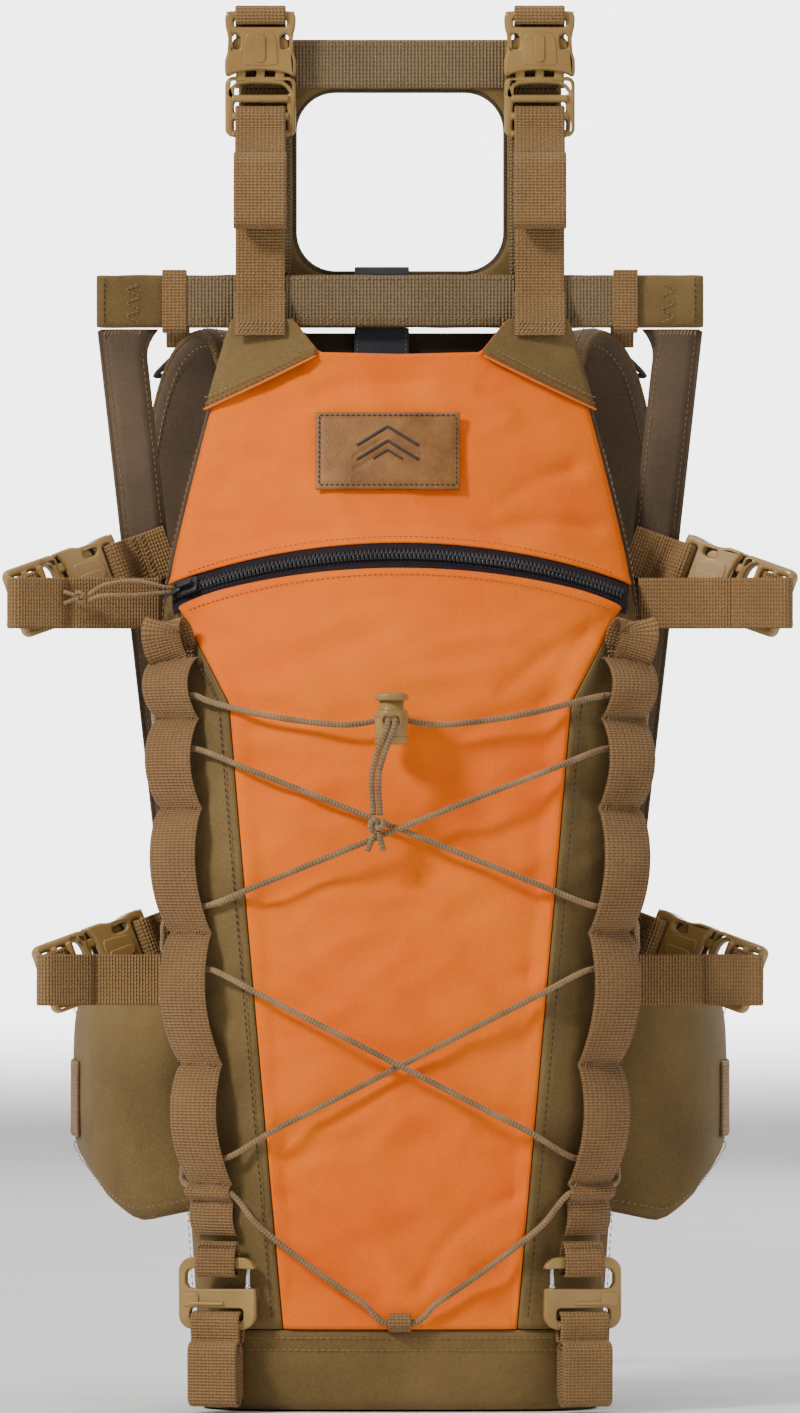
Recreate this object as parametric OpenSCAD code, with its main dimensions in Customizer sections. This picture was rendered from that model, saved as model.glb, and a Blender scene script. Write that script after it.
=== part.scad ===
// Framed hiking daypack: a telescoping frame, a slim zipped bag on its front,
// and a padded shoulder harness and hip belt on its back.
// +Z is up, the bag faces -Y and the wearer stands at +Y. The origin is under the
// middle of the bag's base, on the surface that the pack stands on.

/* [Frame] */
// Height of the middle of the upper crossbar
crossbar_z = 543.5; // [540:0.5:546]
// Half the frame's width across the top
frame_half_w = 150; // [147:1:153]
// Width of the fabric sleeve round each stay
sleeve_w = 22; // [20:1:23]

/* [Pop-up hoop] */
// Half the distance between the middles of the hoop's legs
hoop_half_w = 66; // [65:0.5:67]
// Height of the middle of the hoop's top bar
hoop_top_z = 661; // [656:1:664]
// Radius of the hoop's tube
hoop_r = 5; // [4:0.5:5]

/* [Bag] */
// How far the bag's back panel lies in front of the frame's middle plane
back_gap = 10; // [9.5:0.1:10]
// Thickness of the bag's fabric panels
cloth_t = 2; // [1.5:0.1:2]
// Height of the base's tray
base_h = 40; // [36:1:42]

/* [Zipper] */
// Radius of the arc that the zipper follows
zip_r = 190; // [188:1:192]
// Backward tilt of the arc's axis from vertical
zip_tilt = 34; // [33:0.5:35]
// Width of the zipper's tape
zip_w = 17; // [14:1:18]

/* [Webbing] */
// Width of the main webbing
web_w = 25; // [24:0.5:25]
// Width of the daisy chain webbing
daisy_w = 20; // [18:0.5:20]
// Thickness of the webbing
web_t = 1.4; // [1.2:0.1:1.5]
// Diameter of the elastic cord
cord_d = 3; // [2.5:0.1:3.2]

/* [Hidden] */

coyote = [0.45, 0.36, 0.20];
webbing = [0.56, 0.42, 0.25];
sleeve_brown = [0.36, 0.28, 0.22];
blaze = [1.0, 0.45, 0.08];
moulding = [0.60, 0.47, 0.26];
steel = [0.75, 0.75, 0.76];
black = [0.06, 0.055, 0.065];

fit = 0.3;           // gap left between soft solids that lie against each other
back_y = -back_gap;  // plane of the bag's back edge
round_fn = 48;
base_mid = 55;       // from the frame's middle plane forward to the middle of the base

// ---------------------------------------------------------------- helpers

function join(lists) = [for (l = lists) for (e = l) e];
function unit(v) = v / norm(v);
function mix(a, b, t) = a + (b - a) * t;
function spow(v, e) = sign(v) * pow(abs(v), e);

// Both sides of the pack: the left one as drawn, the right one mirrored.
module both_sides() {
    children();
    mirror([1, 0, 0]) children();
}

// A closed solid between an outer and an inner grid of points, each a list of rows.
module sheet(outer, inner) {
    rows = len(outer);
    cols = len(outer[0]);
    n = rows * cols;
    function at(r, c) = r * cols + c;
    faces = concat(
        [for (r = [0:rows - 2], c = [0:cols - 2]) each
            [[at(r, c), at(r + 1, c), at(r + 1, c + 1)], [at(r, c), at(r + 1, c + 1), at(r, c + 1)]]],
        [for (r = [0:rows - 2], c = [0:cols - 2]) each
            [[n + at(r, c), n + at(r + 1, c + 1), n + at(r + 1, c)],
             [n + at(r, c), n + at(r, c + 1), n + at(r + 1, c + 1)]]],
        [for (c = [0:cols - 2]) each
            [[at(0, c), at(0, c + 1), n + at(0, c + 1)], [at(0, c), n + at(0, c + 1), n + at(0, c)],
             [at(rows - 1, c), n + at(rows - 1, c + 1), at(rows - 1, c + 1)],
             [at(rows - 1, c), n + at(rows - 1, c), n + at(rows - 1, c + 1)]]],
        [for (r = [0:rows - 2]) each
            [[at(r, 0), n + at(r + 1, 0), at(r + 1, 0)], [at(r, 0), n + at(r, 0), n + at(r + 1, 0)],
             [at(r, cols - 1), at(r + 1, cols - 1), n + at(r + 1, cols - 1)],
             [at(r, cols - 1), n + at(r + 1, cols - 1), n + at(r, cols - 1)]]]);
    polyhedron(concat(join(outer), join(inner)), faces);
}

// A closed solid through rings of points, with flat ends.
module loft(rings) {
    rows = len(rings);
    cols = len(rings[0]);
    function at(r, c) = r * cols + c % cols;
    faces = concat(
        [[for (c = [0:cols - 1]) c]],
        [for (r = [0:rows - 2], c = [0:cols - 1]) each
            [[at(r, c), at(r + 1, c), at(r + 1, c + 1)], [at(r, c), at(r + 1, c + 1), at(r, c + 1)]]],
        [[for (c = [cols - 1:-1:0]) at(rows - 1, c)]]);
    polyhedron(join(rings), faces);
}

// A ring of a padded section: c is its middle, across and out its two directions.
function pad_ring(c, across, out, half_w, half_t, sides = 12, e = 0.6) =
    [for (i = [0:sides - 1]) let (a = 360 * i / sides)
        c + across * half_w * spow(cos(a), e) + out * half_t * spow(sin(a), e)];

function tangent(path, i) =
    unit(path[min(i + 1, len(path) - 1)] - path[max(i - 1, 0)]);

// A round cord along a path of points.
module cord(path, d, sides = 8) {
    rings = [for (i = [0:len(path) - 1])
        let (t = tangent(path, i),
             a = unit(cross(t, abs(t[1]) < 0.9 ? [0, 1, 0] : [1, 0, 0])),
             b = cross(t, a))
        [for (k = [0:sides - 1]) path[i] + d / 2 * (a * cos(360 * k / sides) + b * sin(360 * k / sides))]];
    loft(rings);
}

// Points along a smooth curve through the points p, with n steps a span.
function curve(p, n) = concat([for (i = [0:len(p) - 2], k = [0:n - 1])
    let (a = p[max(i - 1, 0)], b = p[i], c = p[i + 1], d = p[min(i + 2, len(p) - 1)], t = k / n)
    0.5 * (2 * b + (c - a) * t + (2 * a - 5 * b + 4 * c - d) * t * t
        + (3 * b - a - 3 * c + d) * t * t * t)], [p[len(p) - 1]]);

// The outline of webbing of thickness t along a flat path.
function ribbon(path, t = web_t) =
    let (m = len(path) - 1,
         side = [for (i = [0:m]) let (d = tangent(path, i)) t / 2 * [-d[1], d[0]]])
    concat([for (i = [0:m]) path[i] + side[i]], [for (i = [m:-1:0]) path[i] - side[i]]);

// The outline of a rectangle w by h with corners of radius r, its middle at the origin.
function rounded(w, h, r, steps = 5) =
    [for (q = [0:3], k = [0:steps]) let (a = 90 * q + 90 * k / steps)
        [(q == 0 || q == 3 ? 1 : -1) * (w / 2 - r) + r * cos(a),
         (q < 2 ? 1 : -1) * (h / 2 - r) + r * sin(a)]];

// Extrudes an outline drawn in X and Z along Y, from y0 to y1.
module plate(y0, y1) {
    translate([0, y1, 0]) rotate([90, 0, 0]) linear_extrude(y1 - y0) children();
}

// Webbing whose path is drawn in Y and Z, w wide about x.
module web_yz(path, x, w, t = web_t) {
    translate([x - w / 2, 0, 0]) rotate([90, 0, 90]) linear_extrude(w) polygon(ribbon(path, t));
}

// A wound tail of webbing: a rounded block l long, h high and t thick, its axis along Y.
module wound(l, h, t, r) {
    rotate([90, 0, 0]) linear_extrude(h, center = true) polygon(rounded(l, t, r));
}

// ---------------------------------------------------------------- the bag's shape

// Rows of the bag's section: height, half width, depth, crown of the front, rounding of its edge
bag_rows = [
    [0, 98, 101, 6, 24],
    [40, 100, 108, 8, 26],
    [150, 107, 112, 10, 26],
    [268, 116.5, 106, 14, 22],
    [350, 118, 90, 26, 12],
    [405, 116, 69.7, 38, 5],
    [440, 108, 56, 33, 4],
    [489, 95.5, 36, 18, 3],
    [536, 82, 16, 2, 1]];
function row(z, k) = lookup(z, [for (r = bag_rows) [r[0], r[k]]]);

// A point of the bag's outside: s from -1 to 1 crosses the front, up to 2 it runs back along a side.
function bag_y(u, z) = -(row(z, 2) - row(z, 3) * u * u - row(z, 4) * pow(u, 8));
function bag_pt(s, z) =
    let (u = min(abs(s), 1), y = bag_y(u, z))
    [sign(s) * u * row(z, 1), y + max(abs(s) - 1, 0) * (back_y - y), z];
function bag_n(s, z) =
    let (u = min(abs(s), 1), w = row(z, 1),
         run = (2 * row(z, 3) * u + 8 * row(z, 4) * pow(u, 7)) / w,
         rise = (bag_y(0, z + 5) - bag_y(0, z - 5)) / 10)
    abs(s) > 1 ? [sign(s), 0, 0] : unit([sign(s) * run, -1, rise]);
function off_bag(s, z, out) = bag_pt(s, z) + out * bag_n(s, z);
// The same for a place x across the front.
function on_front(x, z, out) = off_bag(x / row(z, 1), z, out);

// The bag's panel between two sets of columns; points are functions of the row.
module bag_sheet(grid, out = 0, t = cloth_t) {
    sheet([for (r = grid) [for (p = r) off_bag(p[0], p[1], out)]],
          [for (r = grid) [for (p = r) off_bag(p[0], p[1], out - t)]]);
}

// The seam between the orange middle and the side panels, as a distance from the middle.
function seam_x(z) = lookup(z, [[base_h, 57], [345, 84], [388, 107], [400, 115]]);

// ---------------------------------------------------------------- zipper

zip_apex = [0, bag_y(0, 417), 417];
zip_half = 36;  // half the arc, in degrees
zip_out = [0, -cos(zip_tilt), sin(zip_tilt)];
zip_up = [0, sin(zip_tilt), cos(zip_tilt)];
zip_centre = zip_apex - zip_out * zip_r;
zip_teeth = 0.8;  // how far the coil stands off the tape
function zip_z(x) = zip_apex[2] - sin(zip_tilt) * (zip_r - sqrt(zip_r * zip_r - x * x));

// Places children drawn with the zipper's axis on Z and its apex at [0, -zip_r, 0].
module on_zip_axis() {
    translate(zip_centre) rotate([-zip_tilt, 0, 0]) children();
}

module zip_band(r0, r1, h, half) {
    on_zip_axis() rotate([0, 0, -90 - half]) rotate_extrude(angle = 2 * half, $fn = 120)
        translate([r0, -h / 2]) square([r1 - r0, h]);
}

module zip_tape() color(black) {
    for (s = [-1, 1]) translate(zip_up * s * (zip_w / 4 + 0.6)) zip_band(zip_r + 0.4, zip_r + 1.3, zip_w / 2 - 1, zip_half);
}

module zip_coil() color([0.12, 0.12, 0.13]) zip_band(zip_r + 1.4, zip_r + 2.2, 4.6, zip_half - 0.5);

module zip_slider() color(black) on_zip_axis() rotate([0, 0, -zip_half + 3.5]) translate([0, -zip_r - 2.6, 0]) {
    // body over the coil, bridge and tab ring
    translate([0, -1.2, 0]) plate(-1.2, 1) polygon(rounded(11, 8.4, 2));
    difference() {
        translate([0, -3.4, 0]) plate(-1.9, 1.9) polygon(rounded(7, 3, 1.2));
        translate([0, -3.4, 0]) cube([3.6, 1.8, 8], center = true);
    }
    translate([-8.5, -3.5, 0]) difference() {
        plate(-0.7, 0.7) polygon(rounded(11, 6, 2));
        plate(-2, 2) polygon(rounded(7, 3, 1.2));
    }
}

// The pull is a doubled cord from the slider's ring to a knot.
pull_root = [-115.4, -41.4, 400.5];
pull_knot = [-157, -46, 397];
module zip_pull() color(webbing) {
    for (s = [-1, 1])
        cord(curve([pull_root + [0, 0, s], pull_root + [-15, -3, s * 3.4 + 1], pull_root + [-30, -4.5, s * 2.6],
            pull_knot + [4, 0, s * 1.25]], 5), 1.9);
    translate(pull_knot) rotate([0, 90, 0]) cylinder(r = 4, h = 7, center = true, $fn = round_fn);
}

// ---------------------------------------------------------------- bag panels

module bag_front_lower() color(blaze) {
    top = zip_w / 2 + fit + 0.4;
    bag_sheet([for (v = [0:14]) [for (c = [-8:8])
        let (z1 = zip_z(c / 8 * 107) - top, z = mix(base_h + fit, z1, v / 14))
        [c / 8 * (seam_x(z) - 0.6) / row(z, 1), z]]]);
}

module bag_front_upper() color(blaze) {
    bottom = zip_w / 2 + fit + 0.4;
    bag_sheet([for (v = [0:8]) [for (c = [-10:10])
        let (u = c / 10, z0 = zip_z(u * 112) + bottom, z = mix(z0, top_edge(u), v / 8)) [u * (1 - 1.8 / row(z, 1)), z]]]);
}
// The bag's top edge: low between the corner patches, high on them.
function top_edge(u) = lookup(abs(u), [[0, 517], [0.46, 518], [0.64, 534], [1, 534]]);

module bag_sides() color(coyote) both_sides() {
    z_top = 522;
    bag_sheet([for (v = [0:16]) let (z = mix(base_h + fit, z_top, v / 16), s0 = min(seam_x(z) + 0.4, row(z, 1) - 0.8) / row(z, 1))
        [for (c = [-8:0]) [c < -4 ? -mix(1, 2, (-4 - c) / 4) : -mix(s0, 1, -c / 4), z]]]);
}

module bag_base() color(coyote) {
    bag_sheet([for (v = [0:3]) let (z = mix(3, base_h, v / 3))
        [for (c = [-12:12]) [abs(c) > 8 ? sign(c) * (1 + (abs(c) - 8) / 4) : c / 8, z]]]);
    linear_extrude(2.6) polygon([for (c = [-12:12])
        let (p = bag_pt(abs(c) > 8 ? sign(c) * (1 + (abs(c) - 8) / 4) : c / 8, 0)) [p[0], p[1]]]);
}

module bag_back() color(coyote) plate(back_y + 0.3, back_y + 2)
    polygon(join([[for (z = [3:26:523]) [-row(z, 1) + 3, z]], [for (z = [523:-26:3]) [row(z, 1) - 3, z]]]));

// Each patch runs from its strap down to a slanting lower edge.
module corner_patches() color(coyote) both_sides() {
    bag_sheet([for (v = [0:5]) [for (c = [0:5])
        let (u = mix(-1, -0.47, c / 5), low = mix(489, 515, c / 5)) [u, mix(low, top_edge(u) - 0.5, v / 5)]]],
        out = 2, t = 1.2);
}

module badge_patch() color([0.55, 0.38, 0.20]) {
    bag_sheet([for (v = [0:3]) [for (c = [-4:4]) let (z = mix(450, 486, v / 3)) [c / 4 * 35 / row(z, 1), z]]],
        out = 1.8, t = 1.5);
}

// ---------------------------------------------------------------- daisy chains and lacing

// Heights of the bartacks, from the hook's loop up, and the chain's middle line
tack_z = [86, 102.5, 111, 169, 233, 293.5, 337, 367];
tack_bulge = [2.5, 4.5, 9.5, 10, 10, 9, 10];
function daisy_x(z) = lookup(z, [[72, 88], [106, 90.5], [233, 101], [296, 106], [337, 107.5], [370, 108]]);
// The chain's height above the bag: it lies flat at each bartack and bows out between them.
daisy_rows = concat([for (i = [0:len(tack_z) - 2], k = [0:7])
    [mix(tack_z[i], tack_z[i + 1], k / 8), fit + tack_bulge[i] * pow(sin(22.5 * k), 0.7)]], [[367, fit]]);
function daisy_grid(lift) = [for (r = daisy_rows) [for (c = [-2:2])
    on_front(-daisy_x(r[0]) + c / 2 * daisy_w / 2, r[0], r[1] + lift)]];

module daisy() {
    sheet(daisy_grid(web_t), daisy_grid(0));
    // the chain's end loop, round the hook's top bar
    at_hook() web_yz([[1.2, 25], [4.3, 18], [4.1, 10], [0, 8.4], [-4.1, 10], [-4.3, 18], [-1.2, 25]], 0, daisy_w);
}
module daisy_left() color(webbing) daisy();
module daisy_right() color(webbing) mirror([1, 0, 0]) daisy();

// The lacing zigzags between the chains. Each stop is [side, height where it meets the chain].
cord_off = cord_d / 2 + 0.9;  // middle of the cord above the bag
function lace(x, z, out = 0) = on_front(x, z, cord_off + out);
// Round one bartack, on side s: in at height z_in, round the chain's outer edge, out at z_out.
function tack_turn(s, z_in, z_out) = let (a = daisy_x(z_in), b = daisy_x(z_out), m = (a + b) / 2)
    [lace(s * (a - 9), z_in), lace(s * (a + 4), z_in), lace(s * (m + 12), mix(z_in, z_out, 0.25)),
     lace(s * (m + 12.6), mix(z_in, z_out, 0.5)), lace(s * (m + 12), mix(z_in, z_out, 0.75)),
     lace(s * (b + 4), z_out), lace(s * (b - 9), z_out)];
// A straight crossing from one chain to the other, following the bag's crown.
function crossing(s, z0, z1, lift) = [for (k = [1:7]) let (t = k / 8, x = s * mix(daisy_x(z0) - 9, -daisy_x(z1) + 9, t), z = mix(z0, z1, t))
    lace(x, z, 0.4 + lift * sin(180 * t))];
lock_at = on_front(-4, 334, 13.5);
anchor_z = 44.5;
function lace_top(s) = [for (t = [0.15, 0.4, 0.65, 0.9]) let (x = mix(lock_at[0] + s * 8, s * 98.5, t)) lace(x, mix(333, s < 0 ? 347 : 349, t * t), mix(3, 0, t))];
lace_path = concat(
    [lock_at + [-2.2, 8.8, 0], lock_at + [-6, 9.6, 0]], lace_top(-1),
    tack_turn(-1, 348, 322), crossing(-1, 322, 246, 0),
    tack_turn(1, 246, 215), crossing(1, 215, 126, 0),
    tack_turn(-1, 124, 106.7),
    [for (k = [1:5]) let (t = k / 6) lace(-mix(82, 4, t), mix(106.7, anchor_z, pow(t, 0.8)), 0.3)],
    [lace(-8, anchor_z, 0.3), lace(8, anchor_z, 0.3)],
    [for (k = [5:-1:1]) let (t = k / 6) lace(mix(82, 4, t), mix(106.7, anchor_z, pow(t, 0.8)), 0.3)],
    [for (p = [len(tack_turn(1, 124, 106.7)) - 1:-1:0]) tack_turn(1, 124, 106.7)[p]],
    [for (k = [7:-1:1]) crossing(-1, 215, 126, 3.6)[k - 1]],
    [for (p = [6:-1:0]) tack_turn(-1, 246, 215)[p]],
    [for (k = [7:-1:1]) crossing(1, 322, 246, 3.6)[k - 1]],
    [for (p = [6:-1:0]) tack_turn(1, 348, 322)[p]],
    [for (p = [3:-1:0]) lace_top(1)[p]], [lock_at + [6, 9.6, 0], lock_at + [2.2, 8.8, 0]]);

tail_end = on_front(-11, 284, 12);
module bungee_cord() color([0.62, 0.47, 0.29]) cord(lace_path, cord_d);

// The cord's two tails run out of the lock's front to a shared knot.
module bungee_tails() color([0.62, 0.47, 0.29]) {
    for (s = [-1, 1]) cord(curve([lock_at + [s * 1.7, -8.6, 0], lock_at + [s * 1.7 - 0.5, -11.5, -4],
        mix(lock_at, tail_end, 0.5) + [s * 1.65 - 4, -8, 0], tail_end + [s * 1.65, 0, 4.4]], 5), cord_d);
    translate(tail_end) rotate([90, 0, 0]) rotate([0, 0, 90]) cylinder(r = 4.2, h = 6, center = true, $fn = round_fn);
}

// A short loop of narrow tape that holds the bottom of the lacing.
module bungee_anchor() color(webbing) {
    w = 11;
    y = bag_y(0, anchor_z) - 0.9;
    translate([-w / 2, 0, 0]) rotate([90, 0, 90]) linear_extrude(w)
        polygon(ribbon([[y, base_h + 0.6], [y - 2.6, base_h + 1.4], [y - 4.8, anchor_z - 1.8], [y - 5, anchor_z + 1],
            [y - 3.6, anchor_z + 3.3], [y - 1.2, anchor_z + 3.6], [y - 0.2, anchor_z + 2.6]], 0.9));
}

lock_r = 8;
module cord_lock() color(moulding) translate(lock_at) difference() {
    translate([0, 0, -12]) cylinder(r = lock_r, h = 17, $fn = round_fn);
    translate([0, 0, -9]) cylinder(r = 6.2, h = 20, $fn = round_fn);
    rotate([90, 0, 0]) translate([0, 0, -12]) linear_extrude(24) polygon(rounded(8.4, 4.6, 1.8));
}
module cord_lock_button() color(moulding) translate(lock_at) {
    difference() {
        translate([0, 0, -3.6]) cylinder(r = 6, h = 13, $fn = round_fn);
        rotate([90, 0, 0]) translate([0, 0, -12]) linear_extrude(24) polygon(rounded(8, 5.2, 2));
    }
    translate([0, 0, 9.4]) cylinder(r = 8.3, h = 3.6, $fn = round_fn);
}

// ---------------------------------------------------------------- frame

stay_lean = 0.1115;  // inward lean of the stays, a millimetre for each millimetre down
function stay_x(z) = frame_half_w - sleeve_w / 2 - stay_lean * (crossbar_z - z);
stay_angle = atan(stay_lean);
stay_bottom = 42;
stay_top = 538;
sleeve_t = 8;
crossbar_h = 27;
crossbar_t = 14;

// A bar along the left stay's line, from z0 to z1.
module along_stay(z0, z1, w, t) {
    plate(-t / 2, t / 2) polygon([[-stay_x(z0) - w / 2, z0], [-stay_x(z1) - w / 2, z1],
        [-stay_x(z1) + w / 2, z1], [-stay_x(z0) + w / 2, z0]]);
}
module frame_stays() color([0.1, 0.1, 0.1]) both_sides() along_stay(stay_bottom, stay_top - 10, 13, 3);

module frame_sleeves() color(sleeve_brown) both_sides() {
    top = crossbar_z - crossbar_h / 2 - fit;
    gusset_w = 8;
    gusset_h = 15;
    difference() {
        plate(-sleeve_t / 2, sleeve_t / 2) polygon(concat(
            [[-stay_x(stay_bottom - 4) - sleeve_w / 2, stay_bottom - 4], [-stay_x(top) - sleeve_w / 2, top]],
            [for (a = [0:15:90]) [-stay_x(top) + sleeve_w / 2 + gusset_w * (1 - sin(a)), top - gusset_h * (1 - cos(a))]],
            [[-stay_x(stay_bottom - 4) + sleeve_w / 2, stay_bottom - 4]]));
        along_stay(stay_bottom - 0.3, stay_top, 13.6, 3.6);
    }
}

module crossbar_tube() color([0.5, 0.5, 0.52]) translate([-frame_half_w + 12, 0, crossbar_z])
    rotate([0, 90, 0]) difference() {
        cylinder(r = 4.5, h = 2 * frame_half_w - 24, $fn = round_fn);
        translate([0, 0, -1]) cylinder(r = 3.5, h = 2 * frame_half_w, $fn = round_fn);
    }

module crossbar_cover() color([0.42, 0.34, 0.21]) difference() {
    translate([-frame_half_w, 0, crossbar_z]) rotate([90, 0, 90])
        linear_extrude(2 * frame_half_w) polygon(rounded(crossbar_t, crossbar_h, 3));
    translate([-frame_half_w + 11.6, 0, crossbar_z]) rotate([0, 90, 0])
        cylinder(r = 4.6, h = 2 * frame_half_w - 23.2, $fn = round_fn);
}

// ---------------------------------------------------------------- pop-up hoop

hoop_y = 15;
hoop_bend = 16;
leg_bottom = 335;
guide_top = 452;
guide_bottom = 300;
hoop_gap = 0.1;  // running clearance of a leg in its guide

module hoop(r, bottom) translate([0, hoop_y, 0]) both_sides() {
    translate([-hoop_half_w, 0, bottom]) cylinder(r = r, h = hoop_top_z - hoop_bend - bottom, $fn = round_fn);
    translate([-hoop_half_w + hoop_bend, 0, hoop_top_z - hoop_bend]) rotate([90, 0, 180])
        rotate_extrude(angle = 90, $fn = round_fn) translate([hoop_bend, 0]) circle(r = r, $fn = round_fn);
    translate([-hoop_half_w + hoop_bend, 0, hoop_top_z]) rotate([0, 90, 0])
        cylinder(r = r, h = hoop_half_w - hoop_bend, $fn = round_fn);
}
module popup_hoop() color([0.5, 0.5, 0.52]) hoop(hoop_r, leg_bottom);

module popup_guides() color([0.15, 0.15, 0.15]) both_sides() translate([-hoop_half_w, hoop_y, guide_bottom])
    difference() {
        cylinder(r = 7, h = guide_top - guide_bottom, $fn = round_fn);
        translate([0, 0, -1]) cylinder(r = hoop_r + hoop_gap, h = 300, $fn = round_fn);
    }

cover_half_w = 80;
cover_bottom = 541;
opening_half_w = 52;
opening_bottom = 558;
opening_top = 648;
opening_r = 20;
cover_t = 12.4;

module popup_cover() color([0.42, 0.34, 0.21]) difference() {
    cover_top = hoop_top_z + 13;
    plate(hoop_y - cover_t / 2, hoop_y + cover_t / 2) difference() {
        translate([0, (cover_top + cover_bottom) / 2]) polygon(rounded(2 * cover_half_w, cover_top - cover_bottom, 14));
        translate([0, (opening_top + opening_bottom) / 2])
            polygon(rounded(2 * opening_half_w, opening_top - opening_bottom, opening_r));
    }
    hoop(hoop_r + 0.15, 400);
}

// ---------------------------------------------------------------- side release buckles

// Drawn along X: the mouth is at x = 0, the body runs to +X and the plug to -X.
buckle_cavity = 14.8;
module buckle_body() difference() {
    rotate([90, 0, 0]) linear_extrude(11, center = true) polygon(concat(buckle_edge(1), buckle_edge(-1)));
    translate([-1, -3.6, -buckle_cavity]) cube([22.5, 7.2, 2 * buckle_cavity]);
    translate([24.2, -7, -13]) cube([4, 14, 26]);
}
function buckle_edge(s) = let (e = [[0, 16.4], [1.5, 17.5], [8, 17.5], [11.5, 16.4], [18, 16], [21, 16.4],
        [24, 17.2], [29, 17.5], [31, 16.5], [32, 15]])
    [for (i = [0:9]) let (p = s > 0 ? e[i] : e[9 - i]) [p[0], s * p[1]]];
module buckle_plug() {
    difference() {
        rotate([90, 0, 0]) linear_extrude(6.4, center = true) polygon(rounded_span(-30, -0.3, 35, 4));
        for (x = [-27.4, -18.4, -9.6]) translate([x, -5, -13]) cube([x < -20 ? 6 : 5.6, 10, 26]);
    }
    translate([-3, -2.4, -2.2]) cube([16, 4.8, 4.4]);
    for (s = [-1, 1]) rotate([90, 0, 0]) linear_extrude(6, center = true) polygon([for (p = [[-3, 7.4], [8, 7.6],
            [14, 8.6], [18.6, 9.4], [19.4, 11], [18, 13.2], [15, 14.4], [11, 13.8], [9, 12], [-3, 11.8]])
        [p[0], s * p[1]]]);
}
// A rounded rectangle from x0 to x1, w high.
function rounded_span(x0, x1, w, r) = [for (p = rounded(x1 - x0, w, r)) [p[0] + (x0 + x1) / 2, p[1]]];

// ---------------------------------------------------------------- side straps

// The left buckles' mouths; their axes run outward, down and forward
side_mouths = [[-165, -21.7, 402], [-150.5, -21.7, 217]];
side_tilt = 20;
side_yaw = 27;
side_starts = [[[47.4, -2.3], [36, -7], [22, -12], [10, -15.5], [-2, -17.5]],
    [[36, -24.3], [27, -22.5], [13, -20.5], [4, -19], [-2, -18]]];
module at_side(i) translate(side_mouths[i]) rotate([0, -side_tilt, 0]) children();
module side_buckle(i) at_side(i) rotate([0, 0, side_yaw]) children();

module side_buckle_bodies() color(moulding) both_sides() for (i = [0, 1]) side_buckle(i) buckle_body();
module side_plug_upper_left() color(moulding) side_buckle(0) buckle_plug();
module side_plug_upper_right() color(moulding) mirror([1, 0, 0]) side_buckle(0) buckle_plug();
module side_plug_lower_left() color(moulding) side_buckle(1) buckle_plug();
module side_plug_lower_right() color(moulding) mirror([1, 0, 0]) side_buckle(1) buckle_plug();

module side_tabs() color(webbing) both_sides() for (i = [0, 1]) at_side(i)
    linear_extrude(web_w, center = true) polygon(ribbon([[55.5, 16.5], [37, 16.5], [34, 14.5], [33, 10.5],
        [31.5, 7], [28.5, 5.2], [25.8, 6.4], [23.4, 11]]));

// Each strap runs out from the bag's seam to a wound tail in front of its plug.
module side_straps() color(webbing) both_sides() for (i = [0, 1]) translate(side_mouths[i] - [0, 0, 8]) {
    linear_extrude(web_w, center = true) polygon(ribbon(side_starts[i]));
    translate([-13.6, -21.8, 0]) rotate([0, 0, side_yaw]) wound(34, web_w + 1, 13);
}
// A wound tail of webbing, l long, w wide and t thick, its axis along Z.
module wound(l, w, t) linear_extrude(w, center = true) polygon(rounded(l, t, t / 2 - 0.5));

// ---------------------------------------------------------------- top straps

top_x = 69;
top_y = 2.5;
mouth_z = 655;
module at_top() translate([-top_x, top_y, mouth_z]) rotate([0, -90, 0]) children();

module top_buckle_bodies() color(moulding) both_sides() at_top() buckle_body();
module top_plug_left() color(moulding) at_top() buckle_plug();
module top_plug_right() color(moulding) mirror([1, 0, 0]) at_top() buckle_plug();

module top_tabs() color(webbing) both_sides() web_yz([[22.4, 650], [22.4, 672.5], [20.8, 675.4], [14, 676.2],
    [10.4, 679.5], [10.2, 685.5], [8.6, 688.6], [2.5, 689.2], [-3, 688.6], [-4.6, 685.5], [-3.6, 681.8], [0, 681.2],
    [6, 681.2]],
    -top_x, web_w);

// From the bag's corner, in front of the crossbar, round the plug's bars and into a wound tail
module top_straps() color(webbing) both_sides() {
    web_yz([[-21.4, 526], [-19.7, 532], [-14.5, 538.5], [-10.8, 545], [-10.2, 556], [-10.2, 604], [-8, 609.5],
        [-2, 613.5], [4, 617], [6.9, 623], [6.9, 636], [5, 639.2], [2.5, 639.6], [0, 639.2], [-1.9, 636], [-3.5, 628.5],
        [-8, 622], [-14, 616]], -top_x, web_w);
    translate([-top_x, -19.4, 597]) rotate([0, 90, 0]) wound(40, web_w + 2, 14);
}

// ---------------------------------------------------------------- gate hooks

// Drawn about the hook's middle in X and Z, the gate to +X.
hook_at = [-88.5, -103.5, 58];
hook_w = 39;
hook_h = 35;
gate_x = 15.5;
gate_pivot_z = 3.2;
module at_hook() translate(hook_at) rotate([0, 0, -18]) children();
module gate_hooks() color(moulding) both_sides() at_hook() difference() {
    plate(-2.5, 2.5) polygon(rounded(hook_w, hook_h, 7));
    // slots for the hook's strap and for the chain, and the mouth that the gate closes
    plate(-4, 4) translate([0, -10.2]) polygon(rounded(27.5, 6.2, 1.5));
    plate(-4, 4) translate([-2, 7.2]) polygon(rounded(28, 10.5, 3));
    plate(-4, 4) translate([14, 7.2]) square([16, 9], center = true);
    plate(-1.6, 1.6) translate([gate_x - 4.2, gate_pivot_z + 5.2]) square([13, 15.4], center = true);
}
module gate_wire() translate([gate_x, 0, gate_pivot_z]) {
    translate([0, 0, 0.2]) cylinder(r = 1.1, h = 11.6, $fn = round_fn);
    rotate([90, 0, 0]) cylinder(r = 1.5, h = 2.6, center = true, $fn = round_fn);
}
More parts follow.
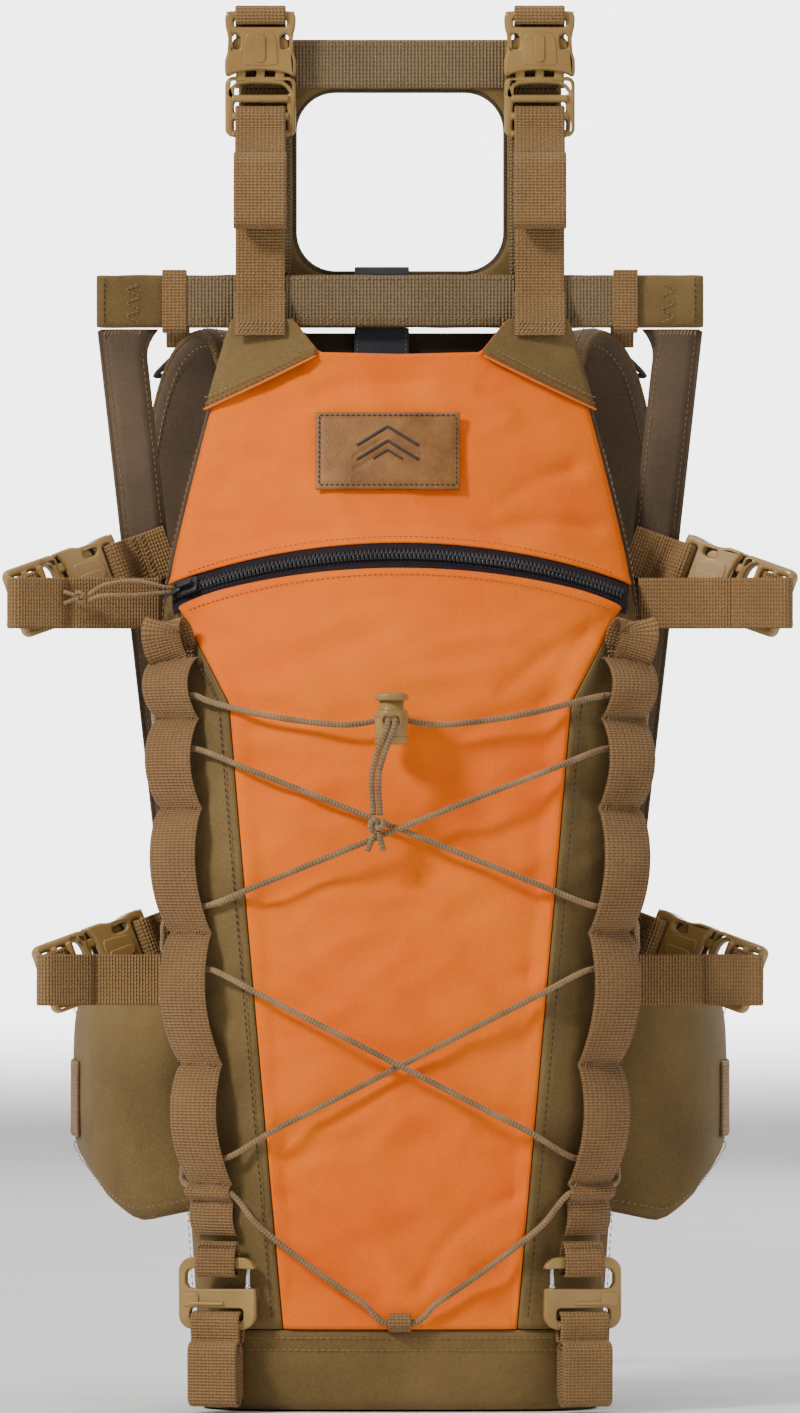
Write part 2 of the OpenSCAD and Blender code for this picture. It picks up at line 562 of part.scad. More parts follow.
module gate_wire_left() color(steel) at_hook() gate_wire();
module gate_wire_right() color(steel) mirror([1, 0, 0]) at_hook() gate_wire();

// The hook's strap loops through its lower slot and ends in a wound tail at the pack's foot.
module hook_straps() color(webbing) both_sides() at_hook() {
    web_yz([[2.2, -24], [4.6, -14], [3.6, -10.2], [0, -9.4], [-3.9, -10.2], [-5, -14], [-3.6, -24]], 0, web_w);
    translate([0, -4.5, -39.5]) rotate([0, 90, 0]) wound(34, web_w + 2, 13);
}

// ---------------------------------------------------------------- frame sheet and pads

// Between the stays at the foot, and no wider than the bag where the bag narrows
module frame_sheet() color([0.2, 0.2, 0.2]) plate(4.4, 6.2) polygon(concat(
    [[-stay_x(48) - 6, 48], [-stay_x(395) - 6, 395], [-111, 402], [-104, 440], [-91, 489], [-79, 528]],
    [[79, 528], [91, 489], [104, 440], [111, 402], [stay_x(395) + 6, 395], [stay_x(48) + 6, 48]]));

// The two ends of a folded label, above and below the crossbar
module frame_tag() color([0.2, 0.2, 0.22]) translate([-9, 0, 0]) for (z = [[511, 529.4], [557.6, 561]])
    plate(-0.7, 0.7) translate([-13.5, z[0]]) square([27, z[1] - z[0]]);

module back_pad() color(sleeve_brown) difference() {
    plate(6.8, 34) translate([0, 352]) polygon(rounded(190, 250, 34));
    both_sides() translate([-hoop_half_w, hoop_y, 200]) cylinder(r = 7.4, h = 330, $fn = round_fn);
}
module lumbar_pad() color(sleeve_brown) plate(6.8, 38) translate([0, 134]) polygon(rounded(168, 150, 34));
module yoke_pad() color(sleeve_brown) plate(34.4, 43) translate([0, 450]) polygon(rounded(150, 88, 22));

// ---------------------------------------------------------------- shoulder harness

// The left strap's middle line, from the yoke over the shoulder and down
strap_line = curve([[-52, 50, 462], [-58, 58, 500], [-72, 80, 524], [-90, 100, 510], [-100, 108, 470],
    [-103, 106, 420], [-100, 99, 360], [-93, 90, 300], [-88, 82, 258]], 3);
strap_half_w = 28;
strap_half_t = 6;
strap_end = strap_line[len(strap_line) - 1];
module shoulder_straps() color(sleeve_brown) both_sides() loft([for (i = [0:len(strap_line) - 1])
    let (t = tangent(strap_line, i), out = unit(cross([1, 0, 0], t)), across = cross(out, t),
         k = i / (len(strap_line) - 1))
    pad_ring(strap_line[i], across, out, strap_half_w * lookup(k, [[0, 0.85], [0.5, 1], [0.9, 0.85], [1, 0.6]]), strap_half_t)]);

// Ladder lock at the strap's end, where the lower web adjusts
lock_z = strap_end[2] - 16;
module ladder_locks() color(moulding) both_sides() translate([strap_end[0], strap_end[1] - 2, lock_z]) rotate([-10, 0, 0])
    difference() {
        plate(-2.6, 2.6) polygon(rounded(34, 26, 4));
        for (z = [-8.4, 0.6, 8.2]) plate(-4, 4) translate([0, z]) polygon(rounded(27, 5, 1));
    }
module strap_webs() color(webbing) both_sides() {
    y = strap_end[1] - 2;
    web_yz(curve([[y - 6.6, lock_z + 4], [y - 8, lock_z - 12], [y - 18, lock_z - 20], [y - 46, 215], [8.6, 206]], 3),
        strap_end[0], web_w);
}

lifter_x = 111.5;
lifter_w = 12;
ring_y = 107.6;
ring_z = 514;
module load_lifters() color(webbing) both_sides() web_yz([[8.4, 552], [8.4, 556], [7, 558.2], [-7, 558.2],
    [-8.2, 556], [-8.2, 532], [-6.6, 529], [8, 529], [10.6, 533], [11.6, 540], [20, 545], [60, 541],
    [ring_y - 15, ring_z + 17], [ring_y - 6, ring_z + 10]], -lifter_x, lifter_w, 1.2);
module lifter_rings() color(steel) both_sides() translate([-lifter_x, ring_y, ring_z]) rotate([27, 0, 0])
    difference() {
        plate(-1.2, 1.2) polygon([[-12, -6], [12, -6], [12, -3], [3, 6.5], [-3, 6.5], [-12, -3]]);
        plate(-2, 2) polygon([[-9.2, -3.6], [9.2, -3.6], [1.8, 4.1], [-1.8, 4.1]]);
    }

sternum_z = 395;
sternum_y = 118;
module at_sternum() translate([0, sternum_y, sternum_z]) scale(0.8) children();
module sternum_webs() color(webbing) both_sides()
    translate([-102, sternum_y, sternum_z - 10]) linear_extrude(20)
        polygon(ribbon([[-18, -1], [8, -1], [45, 4.2], [75.4, 4.2]], 1.2));
module sternum_buckle_body() color(moulding) at_sternum() buckle_body();
module sternum_plug() color(moulding) at_sternum() buckle_plug();

// ---------------------------------------------------------------- hip belt

// Plan of the left wing's middle line, round the wearer's waist
wing_line = curve([[-90, 22], [-118, 32], [-142, 58], [-155, 100], [-158, 145], [-146, 184]], 4);
wing_z = 146;
hip_web = [[-162, 169.2], [-151.6, 187.4], [-132, 207], [-102, 225.5], [-84, 232], [-72, 233]];
hip_web_w = 38;
module wing() loft([for (i = [0:len(wing_line) - 1])
    let (t = tangent(wing_line, i), k = i / (len(wing_line) - 1))
    pad_ring([wing_line[i][0], wing_line[i][1], wing_z + lookup(k, [[0, 0], [0.2, 2], [0.55, 11], [0.75, 10], [1, 0]])],
        [0, 0, 1], [t[1], -t[0], 0], lookup(k, [[0, 50], [0.2, 60], [0.4, 48], [0.75, 38], [1, 32]]), lookup(k, [[0, 6.5], [0.8, 6.5], [1, 4]]), 16, 0.5)]);
module wing_web() translate([0, 0, wing_z - hip_web_w / 2]) linear_extrude(hip_web_w)
    polygon(ribbon(curve([for (p = hip_web) p], 3), 1.8));
module hip_wing_left() color(coyote) wing();
module hip_wing_right() color(coyote) mirror([1, 0, 0]) wing();
module hip_web_left() color(webbing) wing_web();
module hip_web_right() color(webbing) mirror([1, 0, 0]) wing_web();
module hip_plug() color(moulding) translate([-71, 233, wing_z]) scale(1.4) translate([30, 0, 0]) buckle_plug();
module hip_buckle_body() color(moulding) translate([71, 233, wing_z]) scale(1.4) translate([-32, 0, 0]) buckle_body();

// ---------------------------------------------------------------- sub-parts

// The modules above measure Y from the frame's middle plane; the origin is under the base.
module to_origin() translate([0, base_mid, 0]) children();

to_origin() frame_stays();
to_origin() frame_sleeves();
to_origin() crossbar_tube();
to_origin() crossbar_cover();
to_origin() popup_guides();
to_origin() frame_sheet();
to_origin() frame_tag();
to_origin() back_pad();
to_origin() lumbar_pad();
to_origin() yoke_pad();
to_origin() bag_front_upper();
to_origin() bag_front_lower();
to_origin() bag_sides();
to_origin() bag_base();
to_origin() bag_back();
to_origin() corner_patches();
to_origin() badge_patch();
to_origin() zip_tape();
to_origin() zip_coil();
to_origin() zip_slider();
to_origin() zip_pull();
to_origin() daisy_left();
to_origin() daisy_right();
to_origin() bungee_cord();
to_origin() bungee_tails();
to_origin() bungee_anchor();
to_origin() cord_lock();
to_origin() cord_lock_button();
to_origin() side_tabs();
to_origin() side_buckle_bodies();
to_origin() side_straps();
to_origin() side_plug_upper_left();
to_origin() side_plug_upper_right();
to_origin() side_plug_lower_left();
to_origin() side_plug_lower_right();
to_origin() popup_hoop();
to_origin() popup_cover();
to_origin() top_tabs();
to_origin() top_buckle_bodies();
to_origin() top_plug_left();
to_origin() top_plug_right();
to_origin() top_straps();
to_origin() gate_hooks();
to_origin() gate_wire_left();
to_origin() gate_wire_right();
to_origin() hook_straps();
to_origin() shoulder_straps();
to_origin() ladder_locks();
to_origin() strap_webs();
to_origin() load_lifters();
to_origin() lifter_rings();
to_origin() sternum_webs();
to_origin() sternum_buckle_body();
to_origin() sternum_plug();
to_origin() hip_wing_left();
to_origin() hip_wing_right();
to_origin() hip_web_left();
to_origin() hip_web_right();
to_origin() hip_plug();
to_origin() hip_buckle_body();
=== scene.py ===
# Looks for the framed hiking backpack. Lengths below are in millimetres, with Y measured
# from the frame's middle plane; place() turns them into the row frame in metres.
import math

import bpy
import numpy as np
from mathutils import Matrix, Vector, noise
from mathutils.geometry import tessellate_polygon


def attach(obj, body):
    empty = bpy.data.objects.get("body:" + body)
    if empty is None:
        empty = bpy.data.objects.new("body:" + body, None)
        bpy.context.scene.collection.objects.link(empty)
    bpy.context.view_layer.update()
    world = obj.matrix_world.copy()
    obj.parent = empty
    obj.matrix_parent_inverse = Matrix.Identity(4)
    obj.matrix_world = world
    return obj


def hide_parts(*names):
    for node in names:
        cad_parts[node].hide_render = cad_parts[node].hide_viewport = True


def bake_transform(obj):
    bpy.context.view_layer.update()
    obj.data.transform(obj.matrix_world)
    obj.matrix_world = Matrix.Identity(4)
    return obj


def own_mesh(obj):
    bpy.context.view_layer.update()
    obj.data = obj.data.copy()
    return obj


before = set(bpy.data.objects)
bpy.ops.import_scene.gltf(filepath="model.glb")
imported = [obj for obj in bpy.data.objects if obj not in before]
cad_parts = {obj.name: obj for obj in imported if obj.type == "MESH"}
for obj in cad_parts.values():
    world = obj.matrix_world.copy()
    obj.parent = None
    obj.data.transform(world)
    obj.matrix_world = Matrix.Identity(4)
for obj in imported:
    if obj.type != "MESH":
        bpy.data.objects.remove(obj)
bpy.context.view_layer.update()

BASE_MID = 55.0  # from the row frame to the frame's middle plane
SIDES = ((-1, "left"), (1, "right"))
scene = bpy.context.scene


def place(points):
    return (np.asarray(points, float).reshape(-1, 3) + [0, BASE_MID, 0]) / 1000


def at(x, y, z):
    return tuple(place([[x, y, z]])[0])


def unit(v):
    v = np.asarray(v, float)
    return v / max(np.linalg.norm(v), 1e-9)


def mix(a, b, t):
    return a + (b - a) * t


# ---------------------------------------------------------------- materials


class Nodes:
    """A material's node tree, built with short calls."""

    def __init__(self, name):
        self.mat = bpy.data.materials.new(name)
        self.mat.use_nodes = True
        self.tree = self.mat.node_tree
        self.bsdf = self.tree.nodes["Principled BSDF"]
        self.coord = self.tree.nodes.new("ShaderNodeTexCoord")

    def new(self, kind, **values):
        node = self.tree.nodes.new(kind)
        for key, value in values.items():
            if hasattr(node, key):
                setattr(node, key, value)
            else:
                node.inputs[key.replace("_", " ")].default_value = value
        return node

    def link(self, a, b):
        self.tree.links.new(a, b)

    def math(self, op, a, b=None):
        node = self.tree.nodes.new("ShaderNodeMath")
        node.operation = op
        for i, v in enumerate((a, b)):
            if v is None:
                continue
            if isinstance(v, (int, float)):
                node.inputs[i].default_value = v
            else:
                self.link(v, node.inputs[i])
        return node.outputs[0]

    def noise(self, scale, detail=3, rough=0.5, vector=None):
        node = self.new("ShaderNodeTexNoise")
        node.inputs["Scale"].default_value = scale
        node.inputs["Detail"].default_value = detail
        node.inputs["Roughness"].default_value = rough
        self.link(vector or self.coord.outputs["Object"], node.inputs["Vector"])
        return node.outputs["Fac"]

    def ramp(self, fac, stops):
        node = self.new("ShaderNodeValToRGB")
        ramp = node.color_ramp
        while len(ramp.elements) < len(stops):
            ramp.elements.new(0.5)
        for e, (pos, colour) in zip(ramp.elements, stops):
            e.position = pos
            e.color = (*colour, 1)
        self.link(fac, node.inputs["Fac"])
        return node.outputs["Color"]

    def blend(self, fac, a, b, kind="MIX"):
        node = self.new("ShaderNodeMix", data_type="RGBA", blend_type=kind)
        if isinstance(fac, (int, float)):
            node.inputs[0].default_value = fac
        else:
            self.link(fac, node.inputs[0])
        for socket, v in ((node.inputs[6], a), (node.inputs[7], b)):
            if isinstance(v, tuple):
                socket.default_value = (*v, 1)
            else:
                self.link(v, socket)
        return node.outputs[2]

    def bump(self, height, strength, distance, normal=None):
        node = self.new("ShaderNodeBump")
        node.inputs["Strength"].default_value = strength
        node.inputs["Distance"].default_value = distance
        self.link(height, node.inputs["Height"])
        if normal is not None:
            self.link(normal, node.inputs["Normal"])
        return node.outputs["Normal"]

    def finish(self, colour, rough, normal=None, **fixed):
        self.link(colour, self.bsdf.inputs["Base Color"])
        if isinstance(rough, (int, float)):
            self.bsdf.inputs["Roughness"].default_value = rough
        else:
            self.link(rough, self.bsdf.inputs["Roughness"])
        if normal is not None:
            self.link(normal, self.bsdf.inputs["Normal"])
        for key, value in fixed.items():
            self.bsdf.inputs[key.replace("_", " ")].default_value = value
        return self.mat


def scaled(n, coord, factor):
    node = n.new("ShaderNodeMapping")
    node.inputs["Scale"].default_value = factor
    n.link(coord, node.inputs["Vector"])
    return node.outputs["Vector"]


def fabric(name, dark, light, weave=0.9, bump=0.35, sheen=0.15, crease=0.5, speck=0.12, rough=0.85):
    """Plain woven nylon: threads both ways, cloudy tone and fine creases."""
    n = Nodes(name)
    obj = n.coord.outputs["Object"]
    sep = n.new("ShaderNodeSeparateXYZ")
    n.link(obj, sep.inputs[0])
    k = 2 * math.pi * 1000 / weave
    side = n.math("ADD", sep.outputs[0], n.math("MULTIPLY", sep.outputs[1], 0.8))
    warp = n.math("SINE", n.math("MULTIPLY", side, k))
    weft = n.math("SINE", n.math("MULTIPLY", sep.outputs[2], k))
    threads = n.math("MULTIPLY", warp, weft)
    cloud = n.noise(14, 4, 0.55)
    fine = n.noise(700, 2, 0.6)
    tone = n.math("ADD", n.math("MULTIPLY", cloud, 0.8), n.math("MULTIPLY", fine, 0.35))
    tone = n.math("ADD", tone, n.math("MULTIPLY", threads, speck * 0.5))
    colour = n.ramp(tone, [(0.35, dark), (0.8, light)])
    creases = n.noise(45, 5, 0.6)
    a = n.bump(threads, bump * 0.5, 0.0002)
    b = n.bump(creases, crease * 0.35, 0.003, a)
    c = n.bump(fine, 0.15, 0.0003, b)
    return n.finish(colour, rough, c, Sheen_Weight=sheen, Sheen_Roughness=0.5, Specular_IOR_Level=0.25)


def webbing(name, dark, light, pitch=1.5, rough=0.7):
    """Ribbed nylon webbing. Its UVs hold millimetres / 100, across and along the strap."""
    n = Nodes(name)
    uv = n.new("ShaderNodeUVMap", uv_map="strap")
    sep = n.new("ShaderNodeSeparateXYZ")
    n.link(uv.outputs[0], sep.inputs[0])
    along = n.math("MULTIPLY", sep.outputs[1], 2 * math.pi * 100 / pitch)
    across = n.math("MULTIPLY", sep.outputs[0], 2 * math.pi * 100 / 1.9)
    rib = n.math("SINE", along)
    cord = n.math("SINE",
                  n.math("ADD", across, n.math("MULTIPLY", n.math("SINE", n.math("MULTIPLY", along, 0.5)),
                                               0.7)))
    weave = n.math("ADD", n.math("MULTIPLY", rib, 0.65), n.math("MULTIPLY", cord, 0.35))
    cloud = n.noise(38, 3, 0.5)
    fibre = n.noise(900, 2, 0.7)
    tone = n.math("ADD", n.math("MULTIPLY", weave, 0.30), n.math("MULTIPLY", cloud, 0.35))
    tone = n.math("ADD", tone, n.math("MULTIPLY", fibre, 0.55))
    colour = n.ramp(tone, [(0.12, dark), (0.78, light)])
    a = n.bump(weave, 0.9, 0.0005)
    b = n.bump(fibre, 0.25, 0.0003, a)
    return n.finish(colour, rough, b, Sheen_Weight=0.04, Sheen_Roughness=0.4, Specular_IOR_Level=0.3)


def moulded(name, dark, light, rough=0.38, grain=0.12):
    n = Nodes(name)
    cloud = n.noise(30, 3, 0.5)
    fine = n.noise(2600, 2, 0.5)
    scuff = n.noise(160, 6, 0.75)
    colour = n.ramp(cloud, [(0.3, dark), (0.7, light)])
    roughness = n.math("ADD", n.math("MULTIPLY", scuff, 0.22), rough - 0.08)
    return n.finish(colour, roughness, n.bump(fine, grain, 0.0003), Specular_IOR_Level=0.45)


def braid(name, dark, light):
    n = Nodes(name)
    uv = n.new("ShaderNodeUVMap", uv_map="strap")
    sep = n.new("ShaderNodeSeparateXYZ")
    n.link(uv.outputs[0], sep.inputs[0])
    turn = n.math("MULTIPLY", sep.outputs[0], 2 * math.pi * 5)
    run = n.math("MULTIPLY", sep.outputs[1], 2 * math.pi * 100 / 3.4)
    a = n.math("SINE", n.math("ADD", turn, run))
    b = n.math("SINE", n.math("SUBTRACT", turn, run))
    plait = n.math("MULTIPLY", a, b)
    tone = n.math("ADD", n.math("MULTIPLY", plait, 0.3), n.noise(60, 2))
    colour = n.ramp(tone, [(0.25, dark), (0.8, light)])
    return n.finish(colour, 0.65, n.bump(plait, 0.6, 0.0004), Sheen_Weight=0.15)


def leather(name):
    n = Nodes(name)
    cells = n.new("ShaderNodeTexVoronoi", feature="F1")
    cells.inputs["Scale"].default_value = 900
    n.link(n.coord.outputs["Object"], cells.inputs["Vector"])
    cloud = n.noise(60, 5, 0.6)
    colour = n.ramp(cloud, [(0.3, (0.17, 0.066, 0.014)), (0.52, (0.27, 0.112, 0.028)),
                            (0.75, (0.35, 0.16, 0.045))])
    a = n.bump(cells.outputs["Distance"], 0.35, 0.0004)
    b = n.bump(n.noise(200, 4, 0.6), 0.3, 0.0006, a)
    rough = n.math("ADD", n.math("MULTIPLY", cloud, 0.25), 0.42)
    return n.finish(colour, rough, b, Specular_IOR_Level=0.4)


def metal(name, colour, rough):
    n = Nodes(name)
    streak = n.noise(400, 4, 0.6, scaled(n, n.coord.outputs["Object"], (1, 1, 0.1)))
    tint = n.ramp(streak, [(0.3, tuple(c * 0.8 for c in colour)), (0.7, colour)])
    roughness = n.math("ADD", n.math("MULTIPLY", streak, 0.15), rough)
    return n.finish(tint, roughness, n.bump(streak, 0.1, 0.0002), Metallic=1.0)


COYOTE = fabric("coyote_cloth", (0.108, 0.066, 0.020), (0.230, 0.148, 0.053), sheen=0.04)
BROWN = fabric("brown_cloth", (0.064, 0.042, 0.025), (0.142, 0.096, 0.060), sheen=0.04)
ORANGE = fabric("orange_cloth", (0.90, 0.112, 0.0), (0.985, 0.220, 0.0), weave=0.8, bump=0.2, sheen=0.0,
                crease=0.6, speck=0.05, rough=0.8)
MESH = fabric("spacer_mesh", (0.022, 0.017, 0.012), (0.075, 0.055, 0.035), weave=2.6, bump=2.0, crease=0.2,
              speck=0.6, sheen=0.05)
LINING = fabric("lining_cloth", (0.03, 0.021, 0.012), (0.075, 0.054, 0.03), sheen=0.03)
TAG = fabric("tag_cloth", (0.028, 0.031, 0.038), (0.062, 0.066, 0.078), weave=0.7, sheen=0.03)
WEB = webbing("coyote_webbing", (0.170, 0.090, 0.030), (0.375, 0.216, 0.084))
WEB_DARK = webbing("chain_webbing", (0.140, 0.070, 0.024), (0.350, 0.194, 0.076))
FACING = webbing("facing_webbing", (0.122, 0.080, 0.038), (0.275, 0.194, 0.100), pitch=1.7)
PLASTIC = moulded("tan_moulding", (0.295, 0.172, 0.050), (0.425, 0.265, 0.088), rough=0.34)
BLACK_PLASTIC = moulded("black_moulding", (0.012, 0.012, 0.013), (0.03, 0.03, 0.032), rough=0.32)
COMPOSITE = moulded("composite", (0.015, 0.015, 0.016), (0.035, 0.035, 0.036), rough=0.4, grain=0.3)
CORD = braid("elastic_braid", (0.155, 0.083, 0.027), (0.40, 0.25, 0.105))
LEATHER = leather("patch_leather")
STEEL = metal("bright_wire", (0.72, 0.72, 0.73), 0.2)
ZIP_CLOTH = fabric("zip_tape_cloth", (0.008, 0.0055, 0.009), (0.026, 0.016, 0.026), weave=0.7, bump=0.5,
                   sheen=0.03)
THREAD = moulded("tan_thread", (0.20, 0.115, 0.045), (0.33, 0.20, 0.085), rough=0.6)
THREAD_DARK = moulded("dark_thread", (0.022, 0.014, 0.009), (0.05, 0.034, 0.02), rough=0.6)
THREAD_RUST = moulded("rust_thread", (0.30, 0.035, 0.005), (0.5, 0.075, 0.012), rough=0.6)
INK = moulded("pressed_ink", (0.028, 0.02, 0.014), (0.055, 0.04, 0.028), rough=0.6)

# ---------------------------------------------------------------- building pieces


def crosswise(t):
    """Two directions across t, square to it and to each other."""
    ref = np.array([0, 1.0, 0]) if abs(t[1]) < 0.9 else np.array([1.0, 0, 0])
    u = unit(np.cross(t, ref))
    return u, np.cross(t, u)


def bell(d, width):
    return math.exp(-((d / width) ** 2))


def piece(name, verts, faces, mat, body, nodes=(), uv=None, smooth=True, subdiv=0, blend=None):
    """A mesh object in the row frame that rides on a CAD body. When body is a blend of two bodies, its two
    points are worked out but not used, and the mesh is only baked in place.
    """
    mesh = bpy.data.meshes.new(name)
    mesh.from_pydata(place(verts).tolist(), [], [list(map(int, f)) for f in faces])
    mesh.validate()
    if uv is not None:
        uv = np.asarray(uv, float)
        layer = mesh.uv_layers.new(name="strap")
        index = np.empty(len(mesh.loops), int)
        mesh.loops.foreach_get("vertex_index", index)
        layer.data.foreach_set("uv", uv[index].ravel())
    mesh.materials.append(mat)
    mesh.polygons.foreach_set("use_smooth", [smooth] * len(mesh.polygons))
    obj = bpy.data.objects.new(name, mesh)
    scene.collection.objects.link(obj)
    if subdiv:
        sub = obj.modifiers.new("subdivision", "SUBSURF")
        sub.levels = sub.render_levels = subdiv
    blend = blend or (body if isinstance(body, tuple) else None)
    if blend:
        a, b, start, end = blend
        at(*start)
        at(*end)
        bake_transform(obj)
    else:
        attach(obj, body)
    if nodes:
        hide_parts(*([nodes] if isinstance(nodes, str) else nodes))
    return obj


def grid_faces(rows, cols, close=False, base=0):
    wide = cols if close else cols - 1
    r, c = np.meshgrid(np.arange(rows - 1), np.arange(wide), indexing="ij")
    d = (c + 1) % cols
    return (np.stack([r * cols + c, r * cols + d, (r + 1) * cols + d, (r + 1) * cols + c], -1).reshape(-1, 4)
            + base).tolist()


def panel(name, outer, normals, thick, mat, body, nodes=(), uv=None):
    """A cloth panel with real thickness: outer[r][c] is its face, and the back lies thick behind it."""
    outer = np.asarray(outer, float)
    normals = np.asarray(normals, float)
    rows, cols = outer.shape[:2]
    back = outer - normals * thick
    verts = np.concatenate([outer.reshape(-1, 3), back.reshape(-1, 3)])
    n = rows * cols
    faces = grid_faces(rows, cols)
    faces += [[n + i for i in reversed(f)] for f in grid_faces(rows, cols)]
    edge = [(0, c) for c in range(cols)] + [(r, cols - 1) for r in range(1, rows)]
    edge += [(rows - 1, c) for c in range(cols - 2, -1, -1)] + [(r, 0) for r in range(rows - 2, 0, -1)]
    ids = [r * cols + c for r, c in edge]
    for i, a in enumerate(ids):
        b = ids[(i + 1) % len(ids)]
        faces.append([b, a, n + a, n + b])
    return piece(name, verts, faces, mat, body, nodes, uv)


def smooth_path(points, step=2.5):
    """Points about step apart along a Catmull-Rom curve through points."""
    p = np.asarray(points, float)
    ext = np.vstack([2 * p[0] - p[1], p, 2 * p[-1] - p[-2]])
    out = []
    for i in range(len(p) - 1):
        a, b, c, d = ext[i : i + 4]
        k = max(2, int(np.ceil(np.linalg.norm(c - b) / step)))
        t = np.linspace(0, 1, k, endpoint=False)[:, None]
        out.append(0.5 * (2 * b + (c - a) * t + (2 * a - 5 * b + 4 * c - d) * t**2 + (3 * b - a - 3 * c + d)
                          * t**3))
    return np.vstack(out + [p[-1:]])


def frames(path):
    t = np.gradient(path, axis=0)
    return t / np.maximum(np.linalg.norm(t, axis=1, keepdims=True), 1e-9)


def lengths(path):
    return np.concatenate([[0], np.cumsum(np.linalg.norm(np.diff(path, axis=0), axis=1))])


def tube(name, path, d, mat, body, nodes=(), sides=12, blend=None):
    """A round cord along a path, with UVs round and along it."""
    path = np.asarray(path, float)
    t = frames(path)
    ref = np.array([0, 1.0, 0]) if abs(t[0][1]) < 0.9 else np.array([1.0, 0, 0])
    a = unit(np.cross(t[0], ref))
    rings, uv = [], []
    run = lengths(path)
    for i, p in enumerate(path):
        a = unit(a - t[i] * np.dot(a, t[i]))
        b = np.cross(t[i], a)
        for k in range(sides + 1):
            w = 2 * math.pi * k / sides
            rings.append(p + d / 2 * (a * math.cos(w) + b * math.sin(w)))
            uv.append((k / sides, run[i] / 100))
    cols = sides + 1
    faces = grid_faces(len(path), cols)
    for row, flip in ((0, 1), (len(path) - 1, 0)):
        ids = [row * cols + k for k in range(sides)]
        faces.append(ids[::-1] if flip else ids)
    return piece(name, rings, faces, mat, body, nodes, uv, blend=blend)


def strap(name, path, across, width, thick, mat, body, nodes=(), blend=None):
    """Webbing along a path. across is its width's direction, one or one a point; it has rounded selvedges."""
    path = np.asarray(path, float)
    t = frames(path)
    across = np.broadcast_to(np.asarray(across, float), path.shape)
    run = lengths(path)
    half = np.array([-1, -0.97, -0.88, -0.66, -0.33, 0, 0.33, 0.66, 0.88, 0.97, 1])
    edge = np.array([0.35, 0.8, 1.12, 0.95, 1, 1, 1, 0.95, 1.12, 0.8, 0.35])
    verts, uv = [], []
    for i, p in enumerate(path):
        w = unit(across[i] - t[i] * np.dot(across[i], t[i]))
        n = np.cross(w, t[i])
        for side in (1, -1):
            for h, e in zip(half, edge):
                verts.append(p + w * h * width / 2 + n * (side * e * thick / 2))
                uv.append((h * width / 200 + (0.5 if side < 0 else 0), run[i] / 100))
    cols = 2 * len(half)
    m = len(half)
    faces = []
    for i in range(len(path) - 1):
        a, b = i * cols, (i + 1) * cols
        for k in range(m - 1):
            faces.append([a + k + 1, b + k + 1, b + k, a + k])
            faces.append([a + m + k, b + m + k, b + m + k + 1, a + m + k + 1])
        faces.append([a + cols - 1, b + cols - 1, b + m - 1, a + m - 1])
        faces.append([a, b, b + m, a + m])
    for i in (0, len(path) - 1):
        a = i * cols
        cap = [a + k for k in range(m)] + [a + cols - 1 - k for k in range(m)]
        faces.append(cap[::-1] if i == 0 else cap)
    return piece(name, verts, faces, mat, body, nodes, uv, blend=blend)


def wound(name, centre, long, out, axis, l, t, width, mat, body, nodes=(), turns=3,
          thick=1.5):
    """A wound tail of webbing: a flattened spiral about axis, l long and t thick outside."""
    centre, long, out, axis = np.asarray(centre, float), unit(long), unit(out), unit(axis)
    pts = []
    pitch = thick + 0.3
    steps = 40
    for i in range(int((turns + 0.3) * steps) + 1):
        s = i / steps  # turns so far, from the outer end, which lies on the inner side against the plug
        half = max(t / 2 - thick / 2 - s * pitch, 0.8)
        flat = max(l / 2 - t / 2 + thick * 0.4 - s * pitch * 0.35, 2.5)
        q = (s % 1.0) * 4
        if q < 1:
            x, y = mix(-flat, flat, q), -half
        elif q < 2:
            a = math.pi * (q - 1)
            x, y = flat + half * math.sin(a), -half * math.cos(a)
        elif q < 3:
            x, y = mix(flat, -flat, q - 2), half
        else:
            a = math.pi * (q - 3)
            x, y = -flat - half * math.sin(a), half * math.cos(a)
        pts.append(centre + long * x + out * y)
    path = np.array(pts)
    return strap(name, path, axis, width, thick, mat, body, nodes)


stitch_sets = {}


def stitch(points, body, mat=None, pitch=3.0, length=2.1, r=0.28):
    """Queues a run of single stitches along points; they are built as one piece for each body and thread."""
    points = np.asarray(points, float)
    run = lengths(points)
    if run[-1] < pitch:
        return
    marks = np.arange(pitch / 2, run[-1], pitch)
    mid = np.stack([np.interp(marks, run, points[:, k]) for k in range(3)], -1)
    before = np.stack([np.interp(marks - length / 2, run, points[:, k]) for k in range(3)], -1)
    after = np.stack([np.interp(marks + length / 2, run, points[:, k]) for k in range(3)], -1)
    store = stitch_sets.setdefault((body, (mat or THREAD).name), [])
    for m, a, b in zip(mid, before, after):
        store.append((a, m, b, r))


def tack(centre, across, along, width, body, rows=2.6, count=11):
    """A bartack: a dense zigzag of thread across webbing."""
    centre, across, along = np.asarray(centre, float), unit(across), unit(along)
    store = stitch_sets.setdefault((body, THREAD.name), [])
    for i in range(count):
        x = (i / (count - 1) - 0.5) * width
        lean = 0.4 * width / count
        a = centre + across * (x - lean) - along * rows / 2
        b = centre + across * (x + lean) + along * rows / 2
        store.append((a, (a + b) / 2, b, 0.33))


